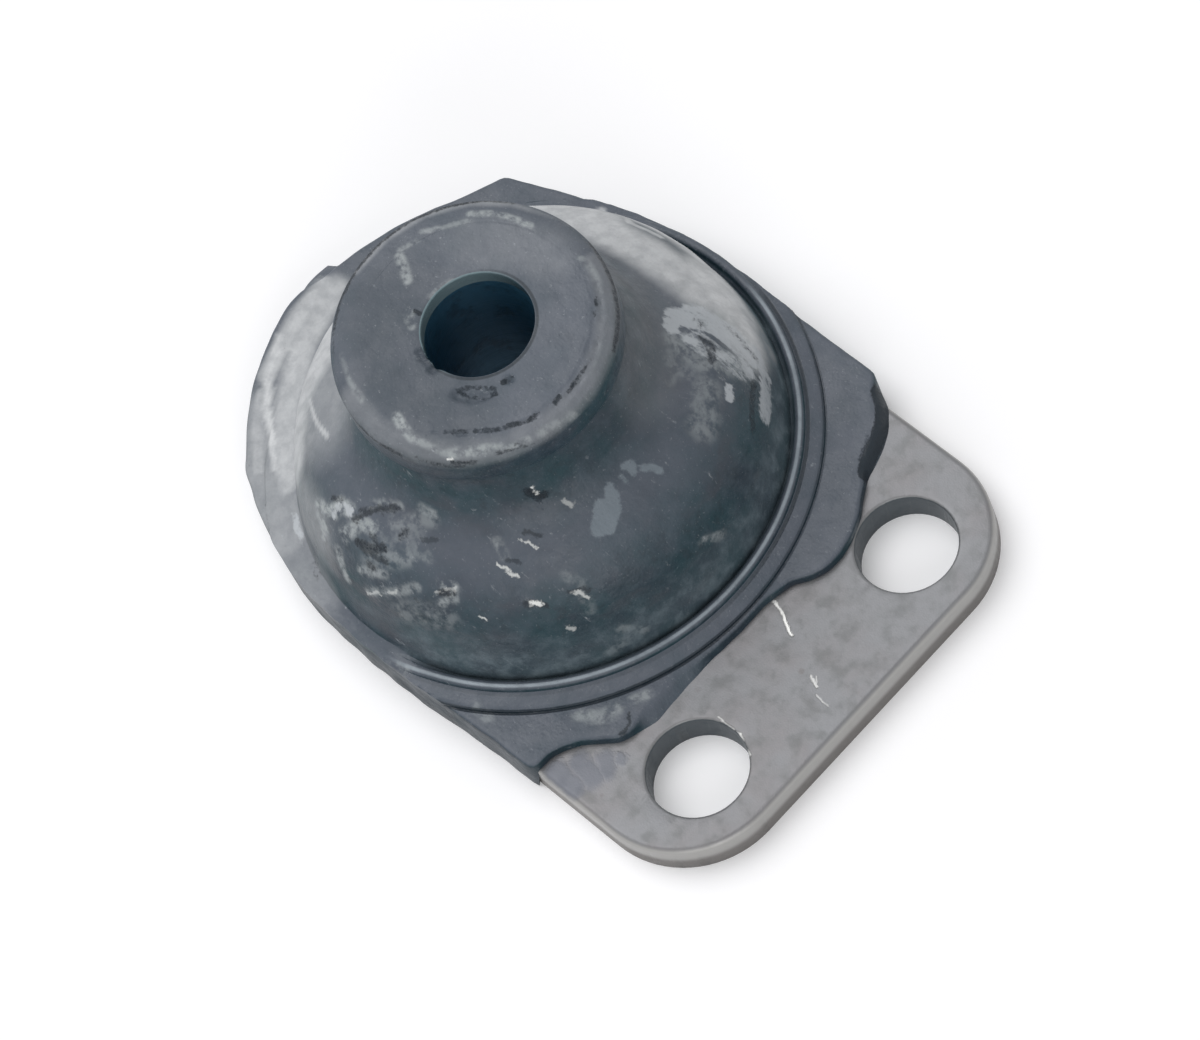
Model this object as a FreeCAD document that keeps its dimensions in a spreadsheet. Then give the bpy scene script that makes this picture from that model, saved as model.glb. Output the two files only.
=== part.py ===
import FreeCAD, Part
import math
import os

import Sketcher

# A bonded rubber buffer: a flat steel plate with two bolt holes in a tab at one end, a rubber
# bell moulded round the plate, and a steel bush in the bell's boss for the centre bolt.
# Frame: Z is the bush's axis, Z = 0 is the plate's underside, and the bolt holes lie towards +X.

# The driving sizes, in millimetres and degrees: name, value, what it measures.
SIZES = [
    ("plate_thickness", 4.0, "steel plate, thickness"),
    ("plate_width", 54.0, "steel plate, across its straight sides"),
    ("plate_front", 47.2, "bush axis to the plate's front edge"),
    ("front_corner_radius", 11.2, "plate, front corners"),
    ("taper_start", 2.0, "bush axis to where the sides begin to curve in"),
    ("tail_side_radius", 57.0, "plate, curved sides of the tail"),
    ("tail_radius", 32.8, "plate, round end of the tail, about the bush axis"),
    ("tail_corner_radius", 14.0, "plate, where the tail's side runs into its round end"),
    ("plate_edge_round", 0.7, "rolled edges of the stamped plate"),
    ("hole_diameter", 11.0, "bolt holes"),
    ("hole_spacing", 32.4, "between the bolt holes"),
    ("hole_setback", 38.2, "bush axis to the line of bolt holes"),
    ("opening_diameter", 45.0, "plate, opening under the bell"),
    ("edge_wrap", 1.8, "rubber round the plate's edge"),
    ("skin_thickness", 1.2, "rubber on top of the plate"),
    ("skin_edge_round", 0.5, "upper edge of that rubber"),
    ("skin_front", 31.4, "bush axis to the skin's straight front edge"),
    ("skin_front_width", 35.0, "length of the skin's straight front edge"),
    ("skin_side_end", 22.8, "bush axis to where the skin leaves the plate's sides"),
    ("nub_reach", 1.8, "moulding nub at the back of the tail, outwards"),
    ("nub_width", 4.4, "moulding nub, across its outer face"),
    ("nub_flare", 0.8, "moulding nub, each side wider at its root"),
    ("ring_radius", 30.6, "foot of the step round the bell"),
    ("ring_step", 0.5, "upright edge of the step, above the skin"),
    ("ring_rise", 2.2, "plate to the top of the step"),
    ("bead_radius", 28.1, "centre line of the bead on the step"),
    ("bead_size", 0.6, "radius of the bead's section"),
    ("bell_foot_radius", 27.1, "bell wall where it leaves the step"),
    ("bell_foot_drop", 0.4, "groove between the bead and the bell wall, depth"),
    ("wall_height", 6.0, "straight part of the bell wall"),
    ("wall_lean", 13.0, "bell wall, from upright"),
    ("shoulder_radius", 14.0, "bell, convex shoulder"),
    ("neck_radius", 14.6, "waist under the boss"),
    ("boss_radius", 15.4, "boss"),
    ("boss_wall", 3.0, "upright side of the boss"),
    ("boss_edge_drop", 1.9, "rounded edge of the boss, height"),
    ("boss_edge_radius", 3.6, "rounded edge of the boss, curve"),
    ("boss_face_radius", 12.6, "flat top of the boss"),
    ("overall_height", 34.0, "plate's underside to the boss's top"),
    ("lip_depth", 2.0, "rubber over the bush's end"),
    ("lip_diameter", 12.3, "bore through that rubber"),
    ("cavity_depth", 17.0, "hollow under the bell, at the bush"),
    ("cavity_roof_radius", 9.0, "hollow under the bell, curved roof"),
    ("lining_thickness", 1.4, "rubber inside the plate's opening"),
    ("bush_bore", 12.5, "bush, bore for the centre bolt"),
    ("bush_diameter", 18.0, "bush, outside"),
    ("bush_chamfer", 0.6, "bush, outer edge of the lower end"),
]
size = {name: value for name, value, meaning in SIZES}

doc = FreeCAD.newDocument("rubber_buffer")
sheet = doc.addObject("Spreadsheet::Sheet", "Sizes")
for row, (name, value, meaning) in enumerate(SIZES, start=1):
    sheet.set(f"A{row}", meaning)
    sheet.set(f"B{row}", str(value))
    sheet.setAlias(f"B{row}", name)
doc.recompute()

# How a sketch numbers its origin, its axes and an edge's own points.
ORIGIN = (-1, 1)
X_AXIS = -1
Y_AXIS = -2
START, END, CENTRE = range(1, 4)
PLAIN, SMOOTH = "plain", "smooth"
Z_DIRECTION = FreeCAD.Vector(0, 0, 1)
SMALL = 1e-4


def point(x, y):
    return FreeCAD.Vector(x, y, 0)


def new_body(label):
    """A sub-part, placed at the origin of the model's frame."""
    body = doc.addObject("PartDesign::Body", label)
    body.Label = label
    body.Placement = FreeCAD.Placement()
    return body


def new_sketch(body, name, plane_role):
    """An empty sketch on one of the body's own origin planes."""
    plane = next(f for f in body.Origin.OriginFeatures if f.Role == plane_role)
    sketch = body.newObject("Sketcher::SketchObject", name)
    sketch.AttachmentSupport = [(plane, "")]
    sketch.MapMode = "FlatFace"
    return sketch


def rule(sketch, kind, *where):
    """A constraint without a number, such as Tangent or Horizontal."""
    sketch.addConstraint(Sketcher.Constraint(kind, *where))


def bind(sketch, kind, *where, start, formula):
    """A dimension that starts as drawn and is driven by the sheet."""
    index = sketch.addConstraint(Sketcher.Constraint(kind, *where, start))
    sketch.setExpression(f"Constraints[{index}]", formula)


def across(sketch, edge, end, formula):
    """Hold a point's distance to the right of the sketch's origin."""
    start = sketch.getPoint(edge, end).x
    bind(sketch, "DistanceX", *ORIGIN, edge, end, start=start, formula=formula)


def above(sketch, edge, end, formula):
    """Hold a point's distance above the sketch's origin."""
    start = sketch.getPoint(edge, end).y
    bind(sketch, "DistanceY", *ORIGIN, edge, end, start=start, formula=formula)


def radius(sketch, edge, formula):
    """Hold the radius of an arc."""
    start = sketch.Geometry[edge].Radius
    bind(sketch, "Radius", edge, start=start, formula=formula)


def draw_loop(sketch, path):
    """A closed outline of lines and arcs.

    Each step is a corner, what leads on from it (None for a line, or an arc's centre and its
    turn, 1 to the left and -1 to the right), and how it joins the step before: a plain corner
    or a smooth one. Returns the edge and its first and last ends, for each step.
    """
    edges = []
    for step, (start, arc, join) in enumerate(path):
        end = path[(step + 1) % len(path)][0]
        if arc is None:
            edge = sketch.addGeometry(Part.LineSegment(point(*start), point(*end)))
            edges.append((edge, START, END))
            continue
        centre, turn = arc
        circle = Part.Circle(point(*centre), Z_DIRECTION, math.dist(centre, start))
        low, high = (start, end) if turn > 0 else (end, start)
        angles = [math.atan2(y - centre[1], x - centre[0]) for x, y in (low, high)]
        edge = sketch.addGeometry(Part.ArcOfCircle(circle, *angles))
        edges.append((edge, START, END) if turn > 0 else (edge, END, START))
    for step, (edge, first, last) in enumerate(edges):
        before, before_first, before_last = edges[step - 1]
        kind = "Tangent" if path[step][2] == SMOOTH else "Coincident"
        rule(sketch, kind, before, before_last, edge, first)
    return edges


def draw_circle(sketch, x, y, diameter, x_formula, y_formula, formula):
    """A circle held by its diameter and its centre; a formula of None means on that axis."""
    edge = sketch.addGeometry(Part.Circle(point(x, y), Z_DIRECTION, diameter / 2))
    bind(sketch, "Diameter", edge, start=diameter, formula=formula)
    if x_formula is None:
        rule(sketch, "PointOnObject", edge, CENTRE, Y_AXIS)
    else:
        across(sketch, edge, CENTRE, x_formula)
    if y_formula is None:
        rule(sketch, "PointOnObject", edge, CENTRE, X_AXIS)
    else:
        above(sketch, edge, CENTRE, y_formula)


def add_feature(body, kind, name, profile, **settings):
    """A PartDesign feature on a sketch; settings with a text value are bound to the sheet."""
    feature = body.newObject(f"PartDesign::{kind}", name)
    feature.Profile = profile
    for setting, value in settings.items():
        if isinstance(value, str) and value.startswith("Sizes."):
            feature.setExpression(setting, value)
        else:
            setattr(feature, setting, value)
    doc.recompute()
    return feature


def cut_away(body, kind, name, profile, **settings):
    """A feature that removes material, and stops the build if it removed none."""
    before = body.Shape.Volume
    feature = add_feature(body, kind, name, profile, **settings)
    if not feature.Shape.Volume < before - SMALL:
        raise RuntimeError(f"{name} removes nothing")
    return feature


def round_edges(body, name, wanted, formula):
    """Fillet the edges of the body's last shape that wanted() picks."""
    base = body.Tip
    picked = [f"Edge{number}" for number, edge in enumerate(base.Shape.Edges, start=1)
              if wanted(edge)]
    if not picked:
        raise RuntimeError(f"{name} finds no edges")
    fillet = body.newObject("PartDesign::Fillet", name)
    fillet.Base = (base, picked)
    fillet.setExpression("Radius", formula)
    doc.recompute()
    return fillet


def at_height(edge, height):
    """True for an edge that lies flat at that height."""
    return abs(edge.BoundBox.ZMin - height) < SMALL and abs(edge.BoundBox.ZMax - height) < SMALL


def meeting_point(first, second):
    """The leftmost point where two circles (centre x, centre y, radius) cross."""
    gap = math.dist(first[:2], second[:2])
    along = (first[2] ** 2 - second[2] ** 2 + gap ** 2) / (2 * gap)
    aside = math.sqrt(first[2] ** 2 - along ** 2)
    ux, uy = (second[0] - first[0]) / gap, (second[1] - first[1]) / gap
    return min((first[0] + along * ux - side * aside * uy,
                first[1] + along * uy + side * aside * ux) for side in (-1, 1))


def tail_points(grow):
    """The upper half of the tail's outline, grow outside the plate's own.

    Returns half its width, the centres of its side arc and of its corner arc, and the two ends
    of the corner arc.
    """
    half = size["plate_width"] / 2 + grow
    side, tail, corner = (size[name] + grow for name in
                          ("tail_side_radius", "tail_radius", "tail_corner_radius"))
    side_centre = (size["taper_start"], half - side)
    corner_centre = meeting_point((0, 0, tail - corner), (*side_centre, side - corner))
    reach = side / (side - corner)
    corner_start = tuple(s + reach * (c - s) for s, c in zip(side_centre, corner_centre))
    corner_end = tuple(c * tail / (tail - corner) for c in corner_centre)
    return half, side_centre, corner_centre, corner_start, corner_end


def below(place):
    """The same place on the other side of the X axis."""
    return place[0], -place[1]


def tail_path(grow):
    """The boat-shaped tail's steps for draw_loop, from one straight side round to the other."""
    half, side_centre, corner_centre, corner_start, corner_end = tail_points(grow)
    side_start = (size["taper_start"], half)
    return [
        (side_start, (side_centre, 1), SMOOTH),
        (corner_start, (corner_centre, 1), SMOOTH),
        (corner_end, ((0, 0), 1), SMOOTH),
        (below(corner_end), (below(corner_centre), 1), SMOOTH),
        (below(corner_start), (below(side_centre), 1), SMOOTH),
        (below(side_start), None, SMOOTH),
    ]


def hold_tail(sketch, straight_side, tail_edges, more=""):
    """Drive the tail: its two straight sides, curved sides, corners and round end.

    more is added to each of the plate's sizes, for an outline that stands out round it.
    """
    side, corner, tail, other_corner, other_side, other_straight = tail_edges
    rule(sketch, "Horizontal", straight_side[0])
    rule(sketch, "Horizontal", other_straight[0])
    rule(sketch, "Coincident", tail[0], CENTRE, *ORIGIN)
    radius(sketch, tail[0], f"Sizes.tail_radius{more}")
    for arc in (corner, other_corner):
        radius(sketch, arc[0], f"Sizes.tail_corner_radius{more}")
    for arc, end, sign in ((side, side[1], ""), (other_side, other_side[2], "-")):
        radius(sketch, arc[0], f"Sizes.tail_side_radius{more}")
        across(sketch, arc[0], end, "Sizes.taper_start")
        above(sketch, arc[0], end, f"{sign}(Sizes.plate_width / 2{more})")


def draw_plate_outline(sketch):
    """The stamped plate's edge: a square front with round corners and a boat-shaped tail."""
    half = size["plate_width"] / 2
    front = size["plate_front"]
    turn = size["front_corner_radius"]
    edges = draw_loop(sketch, [
        ((front, turn - half), None, SMOOTH),
        ((front, half - turn), ((front - turn, half - turn), 1), SMOOTH),
        ((front - turn, half), None, SMOOTH),
        *tail_path(0),
        ((front - turn, -half), ((front - turn, turn - half), 1), SMOOTH),
    ])
    front_edge, top_round, top_side, *tail_edges, bottom_round = edges
    hold_tail(sketch, top_side, tail_edges)
    rule(sketch, "Vertical", front_edge[0])
    across(sketch, front_edge[0], START, "Sizes.plate_front")
    for arc in (top_round, bottom_round):
        radius(sketch, arc[0], "Sizes.front_corner_radius")


def draw_skin_outline(sketch):
    """The rubber's edge: it stands out round the tail and stops short of the bolt holes."""
    half = size["plate_width"] / 2 + size["edge_wrap"]
    front = size["skin_front"]
    front_half = size["skin_front_width"] / 2
    side_end = size["skin_side_end"]
    edges = draw_loop(sketch, [
        ((front, -front_half), None, PLAIN),
        ((front, front_half), None, PLAIN),
        ((side_end, half), None, PLAIN),
        *tail_path(size["edge_wrap"]),
        ((side_end, -half), None, PLAIN),
    ])
    front_edge, top_slant, top_side, *tail_edges, bottom_slant = edges
    bottom_side = tail_edges[-1]
    hold_tail(sketch, top_side, tail_edges, " + Sizes.edge_wrap")
    for end, sign in ((START, "-"), (END, "")):
        across(sketch, front_edge[0], end, "Sizes.skin_front")
        above(sketch, front_edge[0], end, f"{sign}Sizes.skin_front_width / 2")
    across(sketch, top_side[0], START, "Sizes.skin_side_end")
    across(sketch, bottom_side[0], END, "Sizes.skin_side_end")


def draw_bell_profile(sketch):
    """Half of the bell's section, right of the axis: step, bead, wall, neck and boss."""
    skin_top = size["plate_thickness"] + size["skin_thickness"]
    ring, ring_top = size["ring_radius"], size["plate_thickness"] + size["ring_rise"]
    bead, bead_size = size["bead_radius"], size["bead_size"]
    foot, foot_top = size["bell_foot_radius"], ring_top - size["bell_foot_drop"]
    wall_top = foot_top + size["wall_height"]
    lean = math.radians(size["wall_lean"])
    wall = foot - size["wall_height"] * math.tan(lean)
    shoulder = size["shoulder_radius"]
    shoulder_centre = (wall - shoulder * math.cos(lean), wall_top - shoulder * math.sin(lean))
    neck, boss, face = size["neck_radius"], size["boss_radius"], size["boss_face_radius"]
    top = size["overall_height"]
    boss_edge = top - size["boss_edge_drop"]
    boss_under = boss_edge - size["boss_wall"]
    rise, inset = boss_under - shoulder_centre[1], neck - shoulder_centre[0]
    hollow = (rise ** 2 + inset ** 2 - shoulder ** 2) / (2 * (shoulder - inset))
    neck_centre = (neck + hollow, boss_under)
    share = shoulder / (shoulder + hollow)
    turning = tuple(a + share * (b - a) for a, b in zip(shoulder_centre, neck_centre))
    edge_middle = ((boss + face) / 2, (boss_edge + top) / 2)
    chord = math.dist((boss, boss_edge), (face, top))
    sink = math.sqrt(size["boss_edge_radius"] ** 2 - (chord / 2) ** 2) / chord
    edge_centre = (edge_middle[0] - sink * (top - boss_edge), edge_middle[1] - sink * (boss - face))
    edges = draw_loop(sketch, [
        ((0, size["plate_thickness"]), None, PLAIN),
        ((ring, size["plate_thickness"]), None, PLAIN),
        ((ring, skin_top + size["ring_step"]), None, PLAIN),
        ((bead + bead_size, ring_top), ((bead, ring_top), 1), PLAIN),
        ((bead - bead_size, ring_top), None, PLAIN),
        ((foot, foot_top), None, PLAIN),
        ((wall, wall_top), (shoulder_centre, 1), SMOOTH),
        (turning, (neck_centre, -1), SMOOTH),
        ((neck, boss_under), None, PLAIN),
        ((boss, boss_under), None, PLAIN),
        ((boss, boss_edge), (edge_centre, 1), PLAIN),
        ((face, top), None, PLAIN),
        ((0, top), None, PLAIN),
    ])
    base, step_wall, step_face, bead_arc, groove, bell_wall = edges[:6]
    shoulder_arc, neck_arc, boss_ledge, boss_side, boss_arc, boss_top, axis = edges[6:]
    places = [
        (base, "0", "Sizes.plate_thickness"),
        (step_wall, "Sizes.ring_radius", "Sizes.plate_thickness"),
        (step_face, "Sizes.ring_radius",
         "Sizes.plate_thickness + Sizes.skin_thickness + Sizes.ring_step"),
        (bead_arc, "Sizes.bead_radius + Sizes.bead_size", "Sizes.plate_thickness + Sizes.ring_rise"),
        (groove, "Sizes.bead_radius - Sizes.bead_size", "Sizes.plate_thickness + Sizes.ring_rise"),
        (bell_wall, "Sizes.bell_foot_radius",
         "Sizes.plate_thickness + Sizes.ring_rise - Sizes.bell_foot_drop"),
        (shoulder_arc, "Sizes.bell_foot_radius - Sizes.wall_height * tan(Sizes.wall_lean)",
         "Sizes.plate_thickness + Sizes.ring_rise - Sizes.bell_foot_drop + Sizes.wall_height"),
        (boss_ledge, "Sizes.neck_radius",
         "Sizes.overall_height - Sizes.boss_edge_drop - Sizes.boss_wall"),
        (boss_side, "Sizes.boss_radius",
         "Sizes.overall_height - Sizes.boss_edge_drop - Sizes.boss_wall"),
        (boss_arc, "Sizes.boss_radius", "Sizes.overall_height - Sizes.boss_edge_drop"),
        (boss_top, "Sizes.boss_face_radius", "Sizes.overall_height"),
        (axis, "0", "Sizes.overall_height"),
    ]
    for (edge, first, last), x_formula, y_formula in places:
        across(sketch, edge, first, x_formula)
        above(sketch, edge, first, y_formula)
    above(sketch, bead_arc[0], CENTRE, "Sizes.plate_thickness + Sizes.ring_rise")
    radius(sketch, shoulder_arc[0], "Sizes.shoulder_radius")
    radius(sketch, boss_arc[0], "Sizes.boss_edge_radius")
    above(sketch, neck_arc[0], CENTRE,
          "Sizes.overall_height - Sizes.boss_edge_drop - Sizes.boss_wall")


def draw_hollow_profile(sketch):
    """Half of what the bell leaves free: its hollow, the bush's seat and the bore of the lip."""
    mouth = size["opening_diameter"] / 2 - size["lining_thickness"]
    roof, roof_turn = size["cavity_depth"], size["cavity_roof_radius"]
    seat = size["bush_diameter"] / 2
    lip = size["lip_diameter"] / 2
    top = size["overall_height"]
    bush_end = top - size["lip_depth"]
    edges = draw_loop(sketch, [
        ((0, 0), None, PLAIN),
        ((mouth, 0), None, PLAIN),
        ((mouth, roof - roof_turn), ((mouth - roof_turn, roof - roof_turn), 1), SMOOTH),
        ((mouth - roof_turn, roof), None, SMOOTH),
        ((seat, roof), None, PLAIN),
        ((seat, bush_end), None, PLAIN),
        ((lip, bush_end), None, PLAIN),
        ((lip, top), None, PLAIN),
        ((0, top), None, PLAIN),
    ])
    base, mouth_wall, roof_arc, roof_line, seat_wall, seat_end, lip_wall, lip_top, axis = edges
    rule(sketch, "Coincident", base[0], START, *ORIGIN)
    rule(sketch, "Horizontal", base[0])
    rule(sketch, "Vertical", mouth_wall[0])
    rule(sketch, "Horizontal", roof_line[0])
    across(sketch, mouth_wall[0], START, "Sizes.opening_diameter / 2 - Sizes.lining_thickness")
    radius(sketch, roof_arc[0], "Sizes.cavity_roof_radius")
    for (edge, first, last), x_formula, y_formula in (
            (seat_wall, "Sizes.bush_diameter / 2", "Sizes.cavity_depth"),
            (seat_end, "Sizes.bush_diameter / 2", "Sizes.overall_height - Sizes.lip_depth"),
            (lip_wall, "Sizes.lip_diameter / 2", "Sizes.overall_height - Sizes.lip_depth"),
            (lip_top, "Sizes.lip_diameter / 2", "Sizes.overall_height"),
            (axis, "0", "Sizes.overall_height")):
        across(sketch, edge, first, x_formula)
        above(sketch, edge, first, y_formula)


def draw_bush_profile(sketch):
    """Half of the bush's section: a plain tube with a chamfer round its lower end."""
    bore, outside = size["bush_bore"] / 2, size["bush_diameter"] / 2
    edge = size["bush_chamfer"]
    end = size["overall_height"] - size["lip_depth"]
    edges = draw_loop(sketch, [
        ((bore, 0), None, PLAIN),
        ((outside - edge, 0), None, PLAIN),
        ((outside, edge), None, PLAIN),
        ((outside, end), None, PLAIN),
        ((bore, end), None, PLAIN),
    ])
    full = "Sizes.overall_height - Sizes.lip_depth"
    places = [
        ("Sizes.bush_bore / 2", "0"),
        ("Sizes.bush_diameter / 2 - Sizes.bush_chamfer", "0"),
        ("Sizes.bush_diameter / 2", "Sizes.bush_chamfer"),
        ("Sizes.bush_diameter / 2", full),
        ("Sizes.bush_bore / 2", full),
    ]
    for (edge_index, first, last), (x_formula, y_formula) in zip(edges, places):
        across(sketch, edge_index, first, x_formula)
        above(sketch, edge_index, first, y_formula)


def draw_nub_outline(sketch):
    """A short flared block across the back of the tail, rooted in the rubber."""
    root = size["tail_radius"]
    tip = root + size["edge_wrap"] + size["nub_reach"]
    half, root_half = size["nub_width"] / 2, size["nub_width"] / 2 + size["nub_flare"]
    edges = draw_loop(sketch, [
        ((-tip, -half), None, PLAIN),
        ((-root, -root_half), None, PLAIN),
        ((-root, root_half), None, PLAIN),
        ((-tip, half), None, PLAIN),
    ])
    tip_formula = "-(Sizes.tail_radius + Sizes.edge_wrap + Sizes.nub_reach)"
    root_half_formula = "(Sizes.nub_width / 2 + Sizes.nub_flare)"
    places = [
        (tip_formula, "-Sizes.nub_width / 2"),
        ("-Sizes.tail_radius", f"-{root_half_formula}"),
        ("-Sizes.tail_radius", root_half_formula),
        (tip_formula, "Sizes.nub_width / 2"),
    ]
    for (edge, first, last), (x_formula, y_formula) in zip(edges, places):
        across(sketch, edge, first, x_formula)
        above(sketch, edge, first, y_formula)


def on_plate_outline(edge):
    """True for an edge outside the plate's central opening and clear of the bolt holes."""
    middle = edge.valueAt((edge.FirstParameter + edge.LastParameter) / 2)
    from_axis = math.hypot(middle.x, middle.y)
    from_hole = math.hypot(middle.x - size["hole_setback"],
                           abs(middle.y) - size["hole_spacing"] / 2)
    return (from_axis > size["opening_diameter"] / 2 + SMALL
            and from_hole > size["hole_diameter"] / 2 + SMALL)


def on_seat_outline(edge):
    """True for an edge where the rubber meets the plate's sides or tail."""
    middle = edge.valueAt((edge.FirstParameter + edge.LastParameter) / 2)
    place = (middle.x, abs(middle.y))
    half, side_centre, corner_centre = tail_points(0)[:3]
    if middle.x > side_centre[0]:
        return abs(place[1] - half) < SMALL
    arcs = ((side_centre, "tail_side_radius"), (corner_centre, "tail_corner_radius"),
            ((0, 0), "tail_radius"))
    return any(abs(math.dist(place, centre) - size[name]) < SMALL for centre, name in arcs)


def make_base_plate():
    body = new_body("base_plate")
    outline = new_sketch(body, "plate_outline", "XY_Plane")
    draw_plate_outline(outline)
    add_feature(body, "Pad", "plate", outline, Length="Sizes.plate_thickness")
    holes = new_sketch(body, "holes", "XY_Plane")
    setback, half_spacing = size["hole_setback"], size["hole_spacing"] / 2
    for side, sign in ((1, ""), (-1, "-")):
        draw_circle(holes, setback, side * half_spacing, size["hole_diameter"],
                    "Sizes.hole_setback", f"{sign}Sizes.hole_spacing / 2", "Sizes.hole_diameter")
    draw_circle(holes, 0, 0, size["opening_diameter"], None, None, "Sizes.opening_diameter")
    cut_away(body, "Pocket", "punched_holes", holes, Type="ThroughAll", Reversed=True)
    top = size["plate_thickness"]
    round_edges(body, "rolled_edge", lambda edge: at_height(edge, top) and on_plate_outline(edge),
                "Sizes.plate_edge_round")
    return body


def make_rubber_body():
    body = new_body("rubber_body")
    skin_outline = new_sketch(body, "skin_outline", "XY_Plane")
    draw_skin_outline(skin_outline)
    add_feature(body, "Pad", "skin", skin_outline,
                Length="Sizes.plate_thickness + Sizes.skin_thickness")
    skin_top = size["plate_thickness"] + size["skin_thickness"]
    round_edges(body, "skin_edge", lambda edge: at_height(edge, skin_top), "Sizes.skin_edge_round")

    bell_profile = new_sketch(body, "bell_profile", "XZ_Plane")
    draw_bell_profile(bell_profile)
    add_feature(body, "Revolution", "bell", bell_profile,
                ReferenceAxis=(bell_profile, ["V_Axis"]), Angle=360)

    trim_outline = new_sketch(body, "trim_outline", "XY_Plane")
    draw_skin_outline(trim_outline)
    draw_circle(trim_outline, 0, 0, 4 * size["ring_radius"], None, None, "4 * Sizes.ring_radius")
    cut_away(body, "Pocket", "ring_flats", trim_outline, Type="ThroughAll", Reversed=True)

    nub_outline = new_sketch(body, "nub_outline", "XY_Plane")
    draw_nub_outline(nub_outline)
    add_feature(body, "Pad", "nub", nub_outline, Length="Sizes.plate_thickness")

    seat_outline = new_sketch(body, "plate_seat_outline", "XY_Plane")
    draw_plate_outline(seat_outline)
    draw_circle(seat_outline, 0, 0, size["opening_diameter"], None, None, "Sizes.opening_diameter")
    cut_away(body, "Pocket", "plate_seat", seat_outline, Reversed=True,
             Length="Sizes.plate_thickness")
    top = size["plate_thickness"]
    round_edges(body, "seat_corner", lambda edge: at_height(edge, top) and on_seat_outline(edge),
                "Sizes.plate_edge_round")

    hollow_profile = new_sketch(body, "hollow_profile", "XZ_Plane")
    draw_hollow_profile(hollow_profile)
    cut_away(body, "Groove", "hollow_and_bush_seat", hollow_profile,
             ReferenceAxis=(hollow_profile, ["V_Axis"]), Angle=360)
    return body


def make_centre_bush():
    body = new_body("centre_bush")
    profile = new_sketch(body, "bush_profile", "XZ_Plane")
    draw_bush_profile(profile)
    add_feature(body, "Revolution", "bush", profile, ReferenceAxis=(profile, ["V_Axis"]), Angle=360)
    return body


parts = [make_base_plate(), make_rubber_body(), make_centre_bush()]
doc.recompute()

for item in doc.Objects:
    if "Invalid" in item.State or "Error" in item.State:
        raise RuntimeError(f"{item.Name} failed: {item.State}")
for body in parts:
    if body.Shape.isNull() or not body.Shape.isValid() or len(body.Shape.Solids) != 1:
        raise RuntimeError(f"{body.Label} is not one valid solid")

os.makedirs("parts", exist_ok=True)
for body in parts:
    body.Shape.exportStep(f"parts/{body.Label}.step")
    box = body.Shape.optimalBoundingBox(False)
    print(f"{body.Label}: {body.Shape.Volume:.1f} mm3, "
          f"{box.XLength:.2f} x {box.YLength:.2f} x {box.ZLength:.2f} mm")
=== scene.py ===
import math

import bmesh
import bpy
from mathutils import Matrix, Vector, geometry, kdtree, noise


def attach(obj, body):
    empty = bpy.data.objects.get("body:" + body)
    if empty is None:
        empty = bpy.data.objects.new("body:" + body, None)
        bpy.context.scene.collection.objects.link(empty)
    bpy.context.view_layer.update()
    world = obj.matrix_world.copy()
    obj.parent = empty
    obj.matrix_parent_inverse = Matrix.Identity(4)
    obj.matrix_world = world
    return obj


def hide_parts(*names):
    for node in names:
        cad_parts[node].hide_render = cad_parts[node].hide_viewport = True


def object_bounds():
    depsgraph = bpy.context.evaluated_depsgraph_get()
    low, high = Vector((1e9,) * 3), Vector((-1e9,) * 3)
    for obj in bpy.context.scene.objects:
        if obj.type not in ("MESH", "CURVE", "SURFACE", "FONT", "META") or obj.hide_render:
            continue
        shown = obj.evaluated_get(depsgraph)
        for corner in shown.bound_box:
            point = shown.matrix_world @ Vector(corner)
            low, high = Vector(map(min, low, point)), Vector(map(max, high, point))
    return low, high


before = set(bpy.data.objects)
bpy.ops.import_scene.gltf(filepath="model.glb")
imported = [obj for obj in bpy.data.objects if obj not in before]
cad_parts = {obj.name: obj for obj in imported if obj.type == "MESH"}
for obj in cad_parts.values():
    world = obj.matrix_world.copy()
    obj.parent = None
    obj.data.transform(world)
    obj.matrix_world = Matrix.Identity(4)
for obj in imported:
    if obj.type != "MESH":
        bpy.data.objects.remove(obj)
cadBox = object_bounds()
print("frame loaded:", ", ".join(sorted(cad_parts)))

mm = 0.001


def spread(value, low, high):
    # 0 at low, 1 at high, eased at both ends
    share = min(max((value - low) / (high - low), 0), 1)
    return share * share * (3 - 2 * share)


def bump(value, middle, width):
    # 1 at the middle, falling off to both sides
    return math.exp(-((value - middle) / width) ** 2)


def wobble(place, size, seed=0):
    # smooth noise from -1 to 1, its lumps about size mm across
    return noise.noise(Vector(place) / size + Vector((seed * 7.3, seed * 3.1, seed * 5.7)))


def edgeRadius(outline, angle):
    # distance from the axis to a closed outline, in one direction
    reach = Vector((math.cos(angle), math.sin(angle))) * 100
    crossings = [geometry.intersect_line_line_2d(Vector((0, 0)), reach, start, end)
                 for start, end in zip(outline, outline[1:] + outline[:1])]
    return max(place.length for place in crossings if place)


def paintMarks(bm, marks):
    # float layers on the vertices: a mark is full along its middle and gone at its width, in mm
    layers = {name: bm.verts.layers.float.new(name) for name in marks}
    bm.verts.index_update()
    bm.verts.ensure_lookup_table()
    finder = kdtree.KDTree(len(bm.verts))
    for vert in bm.verts:
        finder.insert(vert.co, vert.index)
    finder.balance()
    for name, lines in marks.items():
        for width, strength, places in lines:
            for start, end in zip(places, places[1:]):
                start, end = Vector(start), Vector(end)
                steps = max(int((end - start).length / width * 3), 1)
                for step in range(steps + 1):
                    middle = start.lerp(end, step / steps)
                    for place, index, distance in finder.find_range(middle, width):
                        vert = bm.verts[index]
                        share = strength * (1 - spread(distance, 0.35 * width, width))
                        vert[layers[name]] = max(vert[layers[name]], share)


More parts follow.
